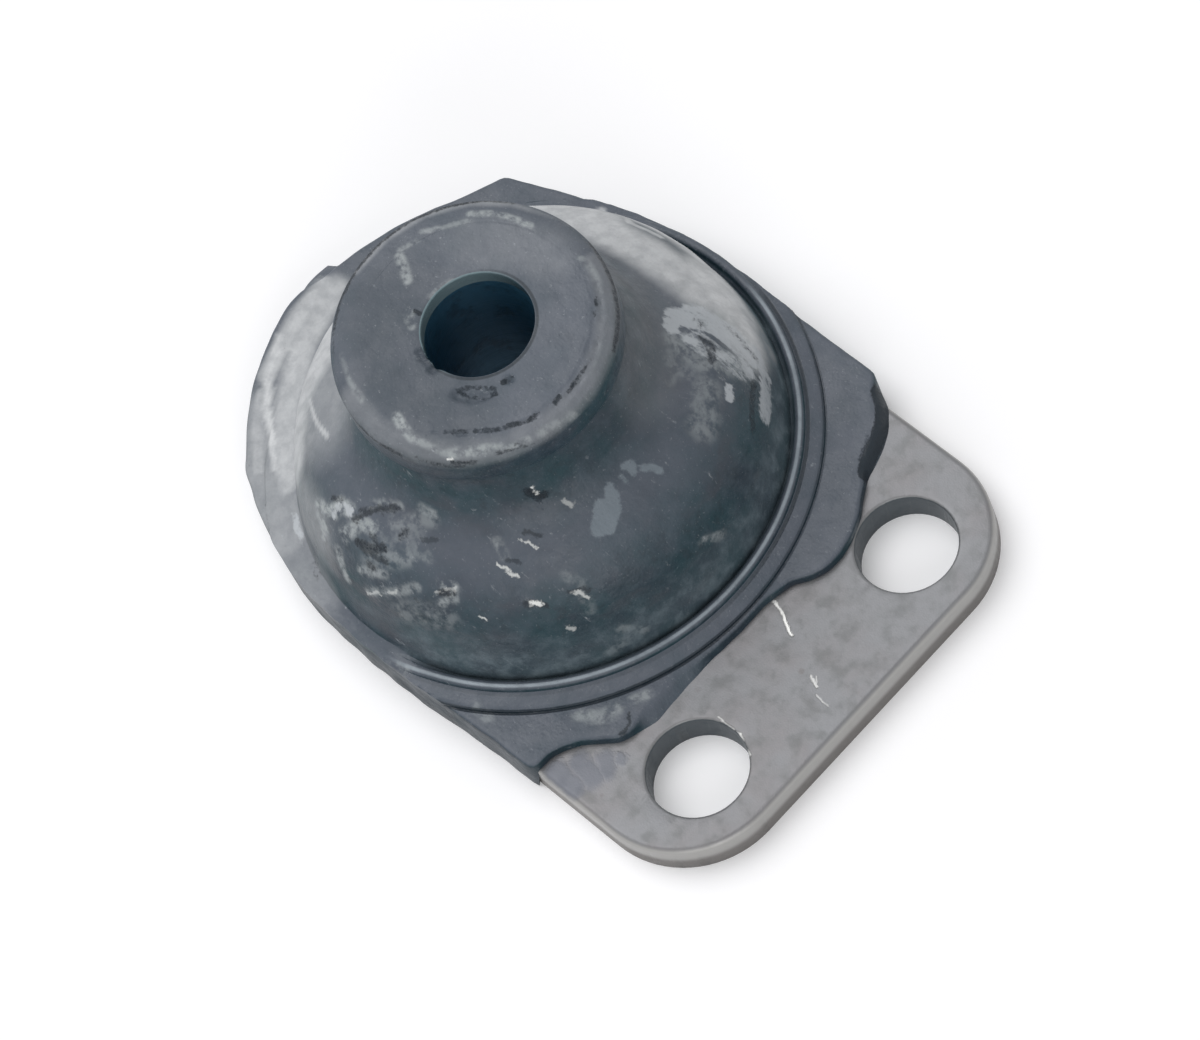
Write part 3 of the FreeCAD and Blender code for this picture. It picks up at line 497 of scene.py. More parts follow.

# what years of use left on the bell, with painted shade, sheen and highlights among it: width in
# mm, strength, and the places it runs through
bellMarks = {
    "veilAndSheen": [
        (7, 0.8, [(-9, 19.5, 17.5), (-15.5, 14.5, 17.5), (-20, 7.5, 17), (-21, 0, 17),
                  (-20, -6, 17)]),
        (7, 0.8, [(-13, 21.5, 12), (-19.5, 16.5, 11), (-24, 8, 11), (-25.5, 0, 10.5),
                  (-24.5, -8, 11), (-20.5, -14, 11.5)]),
        (5, 0.85, [(-9, 19.5, 19), (-3.8, 20.1, 19.9), (2.6, 21, 19.2), (7.1, 21.4, 17.9)]),
        (5, 0.95, [(-13, 21.5, 12), (-4, 24.6, 12), (3, 24.8, 12), (9, 23.4, 12)]),
        (5.5, 0.75, [(-20, -6, 19), (-19, -12, 16), (-16, -18, 14)]),
        (2.6, 0.75, [(-32.6, 0, 5.2), (-30.6, -7, 5.2), (-26.8, -13, 5.9), (-23.1, -17.2, 6.2),
                     (-19.5, -20.2, 6.8)]),
        (0.8, 1, [(-33.6, -7.8, 5), (-30.9, -12.1, 5.2), (-28.2, -15.1, 5.2), (-25.2, -17.2, 5.7),
                  (-22.2, -19.7, 5.9)]),
        (0.7, 0.9, [(-31.1, -8.3, 5.2), (-27.7, -11.1, 5.9)]),
        (0.5, 0.8, [(-17.5, -13.9, 18.2), (-14.1, -15.6, 19.4), (-11.7, -16.2, 20.2)]),
        (1.6, 0.8, [(-34.1, -0.3, 5.2), (-33.6, -4.6, 5.2), (-32.5, -8.4, 5.2), (-31.2, -12, 5.2)]),
        (1.2, 0.6, [(-30, -14.1, 5.2), (-27.3, -17.5, 5.2), (-23.7, -20.8, 5.2)]),
        (0.8, 0.8, [(-15, 24.9, 6.1), (-5, 22.8, 17), (-1.6, 23.7, 16.3)]),
        (1.9, 0.17, [(-5.3, -14, 33), (-0.4, -14.9, 33), (4.5, -14, 33), (8.8, -11.6, 33),
                     (12, -7.7, 33), (13.7, -3.1, 33), (13.7, 1.9, 33), (12, 6.5, 33),
                     (8.8, 10.4, 33), (4.5, 12.8, 33)]),
        (1, 0.3, [(-3, 14.4, 33.8), (-7.5, 12.8, 33.8), (-11.3, 10, 33.8), (-14.1, 6.1, 33.8),
                  (-15.5, 1.5, 33.8), (-15.4, -3.2, 33.8)]),
        (6.5, 0.09, [(6, 16, 24), (13, 8, 24.5)]),
        (9, 0.35, [(-17, -8, 20.5), (-15, -13.5, 19)]),
        (6, 1, [(6, 22.5, 15), (12, 20.5, 13.5)]),
        (2.2, 0.5, [(9, 24, 9), (13, 22.5, 8.5)]),
        (4.5, 0.1, [(-7, 7, 34), (0, 11, 34)]),
        (5.5, 0.42, [(-27, -15, 6), (-22, -21, 6), (-16, -24.5, 6)]),
        (5, 0.26, [(-16, -24.5, 6), (-8, -27, 6)]),
        (6.5, 0.3, [(-21, -13, 12), (-15, -19.5, 12), (-9, -22.5, 13)]),
    ],
    "scuff": [
        (1.5, 1.1, [(9.7, 15.3, 21.5), (8.6, 16.4, 21.2), (9.9, 17.9, 19.8)]),
        (2.7, 1, [(9.9, 17.9, 19.8), (12.3, 19.2, 17.1), (14.9, 19.4, 14.4)]),
        (2.2, 0.95, [(14.9, 20.2, 12.9), (17, 19.5, 11.8), (19.8, 16.6, 12.2)]),
        (2.3, 0.7, [(12, 16, 20), (14.5, 16.5, 18), (16.4, 18, 15.4)]),
        (0.9, 1, [(17.6, 14.5, 17.6), (18.2, 14.1, 17.4)]),
        (0.9, 1, [(-16, -22.7, 6.7), (-14.8, -23.3, 6.5), (-13.1, -23.7, 5.9)]),
        (1, 0.8, [(-6.1, -21.7, 18), (-5.4, -20.7, 19.1), (-4, -20.6, 19.4)]),
    ],
    "hazeAndRimHighlight": [
        (2.2, 0.63, [(11.2, 14.5, 21.3), (14, 14.7, 20), (15.4, 16.7, 17.8), (16.4, 18, 15.4)]),
        (2.6, 0.63, [(10.1, 18.6, 19.3), (12.4, 20.4, 16.2), (15.1, 19.9, 13.9)]),
        (1.5, 0.35, [(13, 12.2, 21.8), (14.4, 12.5, 20.8)]),
        (1.2, 1.2, [(-8.5, -21.9, 16.7), (-6.1, -21.7, 18), (-5.4, -20.7, 19.1),
                    (-4, -20.6, 19.4)]),
        (1.1, 1, [(-8.1, -22.5, 16.1), (-6.8, -23, 15.9), (-7.1, -23.7, 14.7)]),
        (1.3, 1, [(-3.6, -22.7, 17.4), (-2, -21, 19.3), (-0.1, -20.6, 19.7)]),
        (0.9, 0.9, [(-3.9, -24.1, 15.3), (-3.2, -24.8, 14), (-2.3, -25.3, 12.8)]),
        (0.9, 0.8, [(-0.2, -24.2, 15.6), (2.7, -23.2, 16.9)]),
        (1.6, 0.55, [(0.3, -22.5, 18), (3.4, -21.7, 18.6), (4.5, -20.8, 19.2)]),
        (1.2, 0.5, [(1.7, -19.1, 20.7), (3.8, -17.6, 21.6), (5.5, -16.6, 22.1)]),
        (0.9, 0.8, [(4, -16.5, 22.7), (5.3, -16.2, 22.5)]),
        (0.8, 0.7, [(-1.7, -19.1, 20.7), (-0.5, -18.3, 21.3), (1.5, -17.6, 21.9)]),
        (0.8, 0.7, [(1.2, -25.1, 13.7), (4.5, -23.8, 15.5), (6.8, -22.2, 17.1)]),
        (0.8, 0.9, [(9.2, -20.5, 18), (10.5, -19.9, 18), (10.8, -20.6, 17), (9.8, -21.8, 16.2)]),
        (1, 0.4, [(5.4, -19.7, 19.8), (6.7, -19.5, 19.7)]),
        (0.8, 0.75, [(-11.1, -26.9, 6.1), (-8.1, -27, 6.8)]),
        (0.8, 0.7, [(-3.6, -28.1, 6.8), (-0.5, -28.1, 6.8), (1.4, -28.3, 6.8)]),
        (0.8, 0.75, [(4.6, -28.2, 6.6), (6.7, -27.9, 6.2)]),
        (2.4, 0.35, [(10.3, -22.4, 14.7), (6, -24.4, 13.7)]),
        (0.8, 0.65, [(23.8, -10.8, 9.9), (24.9, -9.1, 8.2)]),
        (0.8, 0.65, [(12.2, -14, 21.2), (13.4, -14.5, 20.3)]),
        (0.9, 0.5, [(23.4, -12.9, 7.3), (24.3, -10.7, 8.2)]),
        (0.8, 0.65, [(25.3, 1.2, 13), (25.6, 3.3, 11.5)]),
        (1.1, 0.7, [(24.6, -19.8, 5.2), (26.6, -18.7, 5.2), (27.4, -16.8, 5.2)]),
        (0.9, 0.7, [(28.1, -14.9, 5.2), (28.8, -13.7, 5.2)]),
        (1, 0.5, [(17.1, -26.1, 5.2), (15.6, -26.2, 5.7)]),
        (0.8, 1.1, [(0.7, -12.8, 34), (2, -13.2, 33.8), (3.4, -13.4, 33.6)]),
        (0.6, 0.7, [(3.8, -13.3, 33.6), (5.8, -13, 33.4), (7.3, -12.5, 33.2)]),
        (0.8, 1.15, [(7.9, -12.1, 33.2), (9.5, -10.7, 33.3), (10.9, -9.2, 33.4)]),
        (0.6, 0.8, [(10.9, -9.2, 33.4), (12.1, -8, 33.2), (12.8, -6.7, 33.2), (13.2, -6.1, 33.2)]),
        (0.9, 0.6, [(13.8, -4.7, 33.2), (14.5, -2.6, 33), (15.1, -0.3, 32.6)]),
        (0.8, 0.7, [(3.3, 12.3, 34), (5.5, 12.1, 33.9), (7.3, 11, 33.9)]),
        (0.8, 0.9, [(-12.3, 0.7, 34), (-10.7, -0.1, 34), (-9.7, -0.8, 34)]),
        (0.6, 0.6, [(-6.5, -3.3, 34), (-5.9, -4.2, 34)]),
        (0.6, 0.4, [(9.8, 8.6, 33.9), (12.3, 5.7, 33.8), (13.6, 3, 33.6)]),
        (0.6, 0.95, [(-9.9, 8.9, 33.8), (-7.9, 10.5, 33.9), (-5.4, 11.4, 34), (-3.7, 11.7, 34)]),
        (0.5, 0.6, [(-11.9, 4.9, 34), (-10.6, 6.6, 34), (-9.3, 8.3, 34)]),
        (0.5, 0.75, [(-12.6, 0.7, 34), (-11.6, 0.5, 34), (-10, -0.3, 34)]),
        (0.5, 0.7, [(-12.6, 4.2, 33.9), (-11.9, 4.9, 34)]),
        (0.6, 0.65, [(-6.7, -3.9, 34), (-5.4, -4.4, 34)]),
        (0.5, 0.6, [(-12.2, 3.2, 34), (-12.9, 1.3, 33.9)]),
        (0.6, 0.65, [(-9.3, -11.1, 33.2), (-6.3, -12.8, 33.4), (-3.8, -13.5, 33.5)]),
        (0.5, 0.65, [(-6.3, -0.7, 34), (-6, 1.5, 34), (-4.9, 3.7, 33.5)]),
        (0.9, 0.35, [(-11.4, -25.9, 6.8), (-8.2, -27, 6.8), (-4.8, -27.8, 6.8),
                     (-1.4, -28.1, 6.8)]),
        (0.9, 0.3, [(19.1, -11.8, 18.1), (20.3, -11.2, 17.1), (21.8, -12.2, 14.1)]),
        (0.9, 0.35, [(10.5, 14, 22.1), (13.4, 12.2, 21.5), (14.2, 10.5, 21.9)]),
        (2.6, 0.5, [(16.5, 12.5, 19), (19, 9.5, 19)]),
        (2.2, 0.35, [(4, -19, 20.7), (1, -23, 17)]),
    ],
    "flat": [
        (1.22, 1.2, [(19.2, -6.2, 20.1), (18.6, -5.1, 20.7), (18.1, -4.3, 21.1)]),
        (1.22, 1.2, [(19.7, -5.3, 19.9), (19.1, -3.7, 20.5), (18.3, -2.8, 21.2)]),
        (0.68, 1.12, [(17.7, -2.6, 21.7), (17.6, -2.2, 21.9)]),
        (0.68, 1, [(17.4, 0.2, 22.2), (17.6, 1.1, 21.9), (18.3, 0.5, 21.4)]),
        (0.68, 1, [(18.6, 1.6, 21.1), (19, 2.3, 20.7), (19.7, 2.6, 20.2)]),
        (0.54, 0.75, [(17.8, -0.7, 21.8), (18.4, -0.7, 21.3)]),
    ],
    # dirt, and painted shade along the boss's edges
    "dirtAndShade": [
        (0.5, 0.85, [(2.2, 14.4, 32.5), (7.2, 12.6, 32.5), (10.4, 10.1, 32.4), (12.8, 7, 32.4)]),
        (0.5, 0.56, [(11.2, 6.7, 33.9), (12.1, 6, 33.8)]),
        (0.5, 0.56, [(12.6, -7.3, 33.2), (13, -6.7, 33.1)]),
        (0.5, 0.56, [(4.7, -14.5, 32.4), (7.5, -13.4, 32.2), (9.3, -12.2, 32.2)]),
        (0.5, 0.48, [(5.7, 13.1, 33.3), (8.5, 12.1, 32.9), (11, 10.2, 32.7)]),
        (0.8, 0.76, [(12.7, -8.7, 25.1), (13.7, -8.3, 24), (14, -7.6, 24.1)]),
        (0.5, 0.72, [(-13.9, 7, 32), (-15.6, 3, 32), (-16.2, -1, 32), (-15.4, -5.2, 32),
                     (-13.2, -9.2, 32), (-9.7, -12.8, 32), (-5.2, -15, 32.1), (0, -15.9, 32.2),
                     (3.2, -15.4, 32.2)]),
        (0.5, 0.9, [(1, 14.7, 33.4), (-3, 14.5, 33.4), (-6.8, 13.3, 33.4), (-10.2, 11.2, 33.4),
                    (-12.8, 8.2, 33.4), (-14.7, 4.7, 33.4), (-15.5, 0.8, 33.4), (-15.4, -3.1, 33.4),
                    (-14.2, -6.9, 33.4), (-12, -10.3, 33.4), (-9.1, -13, 33.4), (-5.6, -14.8, 33.4),
                    (-1.7, -15.7, 33.4), (2.3, -15.5, 33.4)]),
        (0.8, 0.72, [(12.3, 16.7, 19.6), (13.3, 17, 18.9), (14.6, 15.6, 19.1)]),
        (0.8, 0.51, [(12, 20, 16.9), (13.9, 20.1, 15.2), (15.4, 20, 13.3)]),
        (0.8, 0.72, [(17.6, 17.5, 14.4), (19.2, 15.6, 14.7), (21, 13.6, 13.8)]),
        (0.8, 0.51, [(10.3, 18, 19.6), (11.3, 17.9, 19.3)]),
        (0.8, 0.64, [(-6.8, -20.7, 18.7), (-5.6, -20.3, 19.3)]),
        (0.8, 0.72, [(-2.8, -21.1, 19.2), (-2.6, -20.2, 19.9), (-1.2, -19.2, 20.7),
                     (0.9, -18, 21.6)]),
        (0.8, 0.59, [(-0.1, -21.3, 19.2), (0.3, -21.2, 19.2)]),
        (0.9, 0.95, [(-1.4, -22.5, 17.9), (0.5, -22.3, 18.2), (1.7, -21.5, 18.9)]),
        (0.8, 0.72, [(3.1, -19.6, 20.3), (3.3, -19.1, 20.6)]),
        (0.8, 0.72, [(0.7, -23.4, 16.8), (1.3, -23.4, 16.8)]),
        (0.8, 0.59, [(2.2, -22.3, 18.1), (2.6, -22.3, 18)]),
        (0.8, 0.47, [(7.1, -23, 15.8), (7.3, -23, 15.7)]),
        (0.8, 0.85, [(9.5, -21.1, 17.3), (10.5, -20.4, 17.5)]),
        (1.2, 0.38, [(-9.1, -24.3, 10.6), (-9.5, -25, 7.1), (-8.4, -25.8, 5.8)]),
        (0.45, 1.15, [(12.2, 5, 33.9), (12.5, 4.1, 33.9), (12.7, 2.8, 33.9)]),
        (0.45, 0.95, [(12.8, 2.5, 33.9), (12.8, 1.5, 33.9), (13.1, 0.2, 33.9)]),
        (0.5, 1, [(12.7, -0.8, 34), (12.9, -1.5, 33.9)]),
        (0.45, 0.9, [(12.4, -3.5, 34), (12.1, -4.5, 33.9), (11.7, -5.3, 34), (10.8, -6.4, 34)]),
        (0.45, 0.65, [(10.7, -6.8, 34), (9.8, -7.8, 34), (8.5, -9, 34)]),
        (0.45, 0.5, [(7.9, -9.4, 34), (6, -10.9, 34)]),
        (0.45, 1, [(7.8, 9.9, 34), (8.4, 9.3, 34)]),
        (0.4, 0.7, [(8.9, 8.5, 34), (9.2, 8.3, 34)]),
        (0.55, 0.85, [(3.9, -6.8, 34), (5, -6.7, 34), (6.3, -5.8, 34), (7.1, -4.6, 34)]),
        (0.45, 0.6, [(3.7, -6.7, 34), (4.6, -5.6, 34), (6.7, -4.2, 34)]),
        (0.5, 1.4, [(6.9, -3.1, 34), (7.1, -2.3, 34)]),
        (0.4, 0.8, [(4.5, -14.6, 32.3), (5.6, -14.1, 32.4)]),
        (0.4, 0.8, [(8.2, -12.7, 32.6), (9.1, -12.1, 32.5), (10.1, -11.2, 32.6)]),
        (0.4, 0.6, [(11.4, -9.3, 33), (12.7, -7.7, 32.9), (13.8, -6, 32.6)]),
        (0.4, 0.9, [(-6.4, -2.9, 34), (-5.8, -2.8, 34)]),
        (1.15, 3, [(24, 27.4, 4.6), (25.5, 26.5, 4.6), (27, 24.8, 4.6), (28, 22.6, 4.6),
                   (28.7, 20.6, 4.6), (29.4, 19.3, 4.5)]),
    ],
    "shade": [
        (8, 0.3, [(-9, -4, 34), (-3, -9, 34), (4, -10, 34)]),
        (5, 0.25, [(2, -13, 30), (9, -10, 30)]),
    ],
}


def drawProfile(bm):
    # the rubber's whole section right of the axis, drawn as one closed chain
    b = bell
    lean = math.radians(b["wallLean"])
    shoulderCentre = (b["wallTop"][0] - b["shoulderRadius"] * math.cos(lean),
                      b["wallTop"][1] - b["shoulderRadius"] * math.sin(lean))
    rise, inset = b["bossUnder"] - shoulderCentre[1], b["neckRadius"] - shoulderCentre[0]
    neckCurve = ((rise ** 2 + inset ** 2 - b["shoulderRadius"] ** 2)
                 / (2 * (b["shoulderRadius"] - inset)))
    neckCentre = (b["neckRadius"] + neckCurve, b["bossUnder"])
    turn = math.degrees(math.atan2(rise, neckCentre[0] - shoulderCentre[0]))
    first = bm.verts.new((b["boreRadius"], 0, b["bushEnd"]))
    end = [first]

    def line(r, z, cuts=1):
        start = end[0].co.copy()
        for cut in range(1, cuts + 1):
            vert = bmesh.ops.extrude_vert_indiv(bm, verts=end)["verts"][0]
            vert.co = start.lerp(Vector((r, 0, z)), cut / cuts)
            end[0] = vert

    def arc(r, z, degrees, cuts):
        # a positive angle turns anticlockwise in the section
        swept = bmesh.ops.spin(bm, geom=end, cent=(r, 0, z), axis=(0, -1, 0), dvec=(0, 0, 0),
                               angle=math.radians(degrees), steps=cuts, use_merge=False,
                               use_normal_flip=False, use_duplicate=False)
        end[0] = [item for item in swept["geom_last"] if isinstance(item, bmesh.types.BMVert)][0]

    lip, underRound, edge, seat = 0.15, 0.35, b["drawnEdge"], b["drawnSeat"]
    line(b["boreRadius"], b["top"] - lip, 5)
    arc(b["boreRadius"] + lip, b["top"] - lip, -90, 4)
    line(b["faceRadius"] - 0.3, b["top"], 28)
    for r, z in b["faceEdge"]:
        line(r, z, 4)
    line(b["bossRadius"], b["bossEdge"], 3)
    line(b["bossRadius"], b["bossUnder"] + underRound, 8)
    arc(b["bossRadius"] - underRound, b["bossUnder"] + underRound, -90, 4)
    line(b["neckRadius"], b["bossUnder"], 2)
    arc(neckCentre[0], neckCentre[1], turn, 24)
    arc(shoulderCentre[0], shoulderCentre[1], math.degrees(lean) - turn, 34)
    line(b["wallFoot"][0], b["wallFoot"][1], 14)
    line(b["beadRadius"] - b["beadSize"], b["beadHeight"], 2)
    arc(b["beadRadius"], b["beadHeight"], -180, 9)
    line(b["ringRadius"] - 0.25, b["ringTop"] + 0.05, 5)
    line(b["ringRadius"], b["ringTop"] - 0.2, 2)
    line(b["ringRadius"], b["skinTop"] + 0.12)
    line(b["ringRadius"] + 0.15, b["skinTop"])
    line(edge - b["skinRound"], b["skinTop"], 7)
    arc(edge - b["skinRound"], b["skinTop"] - b["skinRound"], -90, 5)
    line(edge, 0.2, 6)
    line(edge - 0.2, 0)
    line(seat, 0)
    line(seat, b["plateTop"] - b["plateRound"], 2)
    arc(seat - b["plateRound"], b["plateTop"] - b["plateRound"], 90, 4)
    line(b["openingRadius"], b["plateTop"], 4)
    line(b["openingRadius"], 0, 2)
    line(b["mouthRadius"], 0)
    line(b["mouthRadius"], b["hollowRoof"] - b["roofTurn"], 4)
    arc(b["mouthRadius"] - b["roofTurn"], b["hollowRoof"] - b["roofTurn"], 90, 8)
    line(b["seatRadius"], b["hollowRoof"], 2)
    line(b["seatRadius"], b["bushEnd"], 5)
    bm.edges.new((end[0], first))


def fitToEdges(bm, outer, seat, slopes):
    # the profile's outermost part moves out or in to the real edges
    b = bell
    ring, topRound = b["ringRadius"], b["skinRound"]
    plateTop, plateRound = b["plateTop"], b["plateRound"]
    drawnEdge, drawnSeat, opening = b["drawnEdge"], b["drawnSeat"], b["openingRadius"]
    for vert in bm.verts:
        r, z = math.hypot(vert.co.x, vert.co.y), vert.co.z
        if r < opening + 0.01 or (r < 27.0 and z > b["skinTop"]):
            continue
        angle = math.atan2(vert.co.y, vert.co.x)
        spoke = round(math.degrees(angle) % 360 * b["steps"] / 360) % b["steps"]
        edge, plateEdge = outer[spoke], seat[spoke]
        wrap = min(max((edge - plateEdge) / 0.4, 0), 1)
        if z > plateTop + 0.01 and r <= ring:
            newR, newZ = min(r, edge), z
        elif z > plateTop + 0.01 and r <= drawnEdge - topRound:
            share = (r - ring) / (drawnEdge - topRound - ring)
            room = max(edge - topRound - ring, 0)
            newR, newZ = min(ring, edge) + share * max(room - slopes[spoke], 0), z
        elif r > (drawnEdge + drawnSeat) / 2:
            rounding = min(max((edge - ring) / topRound, 0), 1)
            lean = slopes[spoke] * (z - plateTop) / (b["skinTop"] - plateTop)
            newR, newZ = edge - (drawnEdge - r) * rounding - lean, z
            if z < plateTop:
                newR, newZ = edge - (drawnEdge - r), plateTop - (plateTop - z) * wrap
        elif r > drawnSeat - plateRound - 0.01:
            newR = min(plateEdge, edge) - (drawnSeat - r) * wrap
            newZ = plateTop - (plateTop - z) * wrap
        else:
            reach = min(plateEdge, edge) - plateRound * wrap
            share = (r - opening) / (drawnSeat - plateRound - opening)
            newR, newZ = opening + share * (reach - opening), z
        vert.co = newR * math.cos(angle), newR * math.sin(angle), newZ


def addNub(bm):
    # a moulding nub at the back of the tail, below the skin
    for vert in bm.verts:
        x, y, z = vert.co
        if x < -33.0 and z < 4.4 and math.hypot(x, y) > 33.6:
            reach = (1 - spread(y, 1.9, 3.0)) * (1 - spread(-y, -0.5, 3.6))
            vert.co.x -= 1.5 * reach * (1 - spread(z, 3.9, 4.4))


def wearBell(bm):
    # small unevenness everywhere, then the marks that the boss and the lip carry
    b = bell
    for vert in bm.verts:
        x, y, z = vert.co
        r, angle = math.hypot(x, y), math.degrees(math.atan2(y, x))
        outside = z > 4.6 and r > 9.3 or z > 32.2 and r > 6.0
        if not outside:
            continue
        flat = Vector((x, y, 0)).normalized()
        uneven = 0.07 * wobble((x, y, z), 7.0, 1) + 0.035 * wobble((x, y, z), 2.4, 2)
        if 15.8 < r < 27.2:
            vert.co += flat * uneven * 1.4
        # the groove, the bead and the step run out towards the tail
        if 26.9 < r < 30.7 and z < 7.2:
            runOut = spread(abs(angle + 156 if angle < 90 else angle - 204), 88, 74)
            vert.co.z += runOut * (5.5 + 1.2 * ((30.7 - r) / 3.8) ** 2 - vert.co.z)
        elif r <= 13.0:
            vert.co.z += min(uneven, 0) * 0.9
        # dotted witness line round the near side of the face
        if 12.0 < r < 14.3:
            broken = spread(wobble((x, y, 0), 1.1, 5), -0.25, 0.3)
            nearSide = spread(angle, -88, -70) * (1 - spread(angle, 55, 70))
            path = 12.6 + 1.2 * spread(angle, -45, 10)
            vert.co.z -= 0.14 * broken * nearSide * bump(r, path, 0.17)
        # a crescent gouge on the side towards the front, and a pit at its end
        if 6.6 < r < 9.8 and -80 < angle < 0:
            along = spread(angle, -68, -60) * (1 - spread(angle, -38, -30))
            path = 8.0 + 0.55 * bump(angle, -46, 14)
            ragged = 0.9 + 0.5 * wobble((x, y, 0), 0.8, 8)
            vert.co.z -= 0.34 * along * bump(r, path, 0.55) * ragged
            vert.co.z += 0.1 * along * bump(r, path + 0.95, 0.3)
            vert.co.z -= 0.5 * bump(angle, -19, 4) * bump(r, 7.6, 0.4)
        # the lip draws in a little towards the face
        if r < 7.0:
            vert.co -= flat * 0.13 * spread(z, 32.2, 33.9) * (1 - spread(r, 6.2, 6.9))
        # the lip is torn on its near side
        if r < 8.2 and -135 < angle < -70 and z > 33.0:
            tear = spread(angle, -126, -112) * (1 - spread(angle, -94, -80))
            ragged = 0.55 + 0.6 * wobble((angle * 0.2, z, 0), 1.0, 11)
            sink = tear * ragged * (1 - spread(r, 6.3, 7.0 + 0.5 * ragged))
            vert.co.z -= 0.7 * max(sink, 0)
            vert.co += flat * 0.25 * max(sink, 0)
        # the boss's edge is crisp on the far left and worn round elsewhere
        if r > 12.3 and z > b["bossEdge"] - 0.1:
            farLeft = bump((angle - 165 + 180) % 360 - 180, 0, 75)
            vert.co.z += (b["top"] - 0.12 - vert.co.z) * 0.75 * farLeft
        # the boss stands a little off the bore's centre
        if r > 8.0 and z > 26.0:
            share = spread(r, 8.5, 12.5) * spread(z, 26.0, 29.3)
            vert.co += share * (Vector((-0.4, -0.6, 0)) - 0.012 * Vector((x, y, 0)))


def makeRubber():
    material = makeRubberMaterial()
    bm = bmesh.new()
    drawProfile(bm)
    bmesh.ops.spin(bm, geom=bm.verts[:] + bm.edges[:], cent=(0, 0, 0), axis=(0, 0, 1),
                   dvec=(0, 0, 0), angle=math.radians(360), steps=bell["steps"],
                   use_merge=True, use_normal_flip=False, use_duplicate=False)
    plateEdge = readPlateEdge()
    angles = [math.radians(360 * spoke / bell["steps"]) for spoke in range(bell["steps"])]
    seat = [edgeRadius(plateEdge, angle) for angle in angles]
    edgePoints = [Vector(place) for place in rubberEdge]
    outer = [edgeRadius(edgePoints, angle) for angle in angles]
    count = len(outer)
    outer = [(outer[i - 1] + 2 * outer[i] + outer[(i + 1) % count]) / 4 for i in range(count)]
    outer = [edge + 0.1 * wobble((edge * math.cos(a), edge * math.sin(a), 0), 2.2, 3)
             for edge, a in zip(outer, angles)]
    # the wall leans out where it ends on the plate's +Y corner and runs out thin towards the -Y one
    slopes = []
    for edge, angle in zip(outer, angles):
        turn = (math.degrees(angle) + 180) % 360 - 180
        slope = sum(size * spread(turn, start, full) * (1 - spread(turn, fade, end))
                    for size, start, full, fade, end in bell["endSlopes"])
        slopes.append(min(slope, max(edge - bell["ringRadius"] - bell["skinRound"], 0)))
    fitToEdges(bm, outer, seat, slopes)
    addNub(bm)
    wearBell(bm)
    keepInside(bm)
    bmesh.ops.remove_doubles(bm, verts=bm.verts, dist=0.002)
    paintMarks(bm, bellMarks)
    bmesh.ops.transform(bm, matrix=Matrix.Scale(mm, 4), verts=bm.verts)
    finishPiece("rubberBell", bm, material, "rubber_body", 38)


def keepInside(bm):
    # nothing leaves the box of the CAD part
    low, high = cadBox
    for vert in bm.verts:
        for axis in range(3):
            vert.co[axis] = min(max(vert.co[axis], low[axis] / mm), high[axis] / mm)


boltHoles = [Vector((38.2, 16.2)), Vector((38.2, -16.2))]
holeRadius = 5.5


def readPlateEdge():
    # the stamped plate's outline seen from above, from its own underside
    rim = set()
    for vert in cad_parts["base_plate"].data.vertices:
        place = Vector(vert.co) / mm
        flat = place.to_2d()
        clear = all((flat - hole).length > holeRadius + 0.5 for hole in boltHoles)
        if place.z < 0.01 and flat.length > bell["openingRadius"] + 0.5 and clear:
            rim.add((round(flat.x, 3), round(flat.y, 3)))
    return [Vector(place) for place in sorted(rim, key=lambda p: math.atan2(p[1], p[0]))]


plate = {
    "steel": (118, 119, 122),
    "warm": (116, 114, 116),
    "green": (113, 116, 115),
    "worn": (106, 107, 109),
    "spot": (84, 76, 72),
    "edge": (164, 163, 161),
    "foot": (116, 113, 111),
    "bore": (77, 84, 89),
    "film": (106, 110, 120),          # thin rubber smeared beyond the skin
    "scratch": (214, 214, 212),
    "holeRound": 0.35,
    "grid": 2,
    # patches: size in mm, detail, and the noise values between which they fade in
    "broad": (9, 3, 0.35, 0.65), "small": (2.2, 5, 0.4, 0.75), "mottle": (0.5, 3, 0.35, 0.7),
    # start, end, width in mm, strength
    "smears": [
        ((26.6, -25.8, 4), (29.4, -25.9, 4), 1.8, 0.9),
        ((28, -23.6, 4), (30.2, -24, 4), 1.9, 0.85),
        ((29.8, -21.6, 4), (30.8, -22.4, 4), 1.6, 0.8),
        ((31, -20.2, 4), (31.3, -20.6, 4), 0.9, 0.7),
    ],
    "scratches": [
        ((31.6, 2.75, 4), (33.5, 2.1, 4), 0.3, 0.9),
        ((33.5, 2.1, 4), (35.8, 1, 4), 0.26, 1),
        ((40.6, -1.2, 4), (41.9, -1.7, 4), 0.26, 0.55),
        ((41, -0.9, 4), (41.9, -1.7, 4), 0.18, 0.4),
        ((42.5, -2.4, 4), (44.4, -2.6, 4), 0.18, 0.35),
        ((36, -10.7, 4), (39.2, -10.6, 4), 0.2, 0.5),
        ((39.2, -10.6, 4), (41.6, -11.7, 4), 0.24, 0.8),
    ],
}


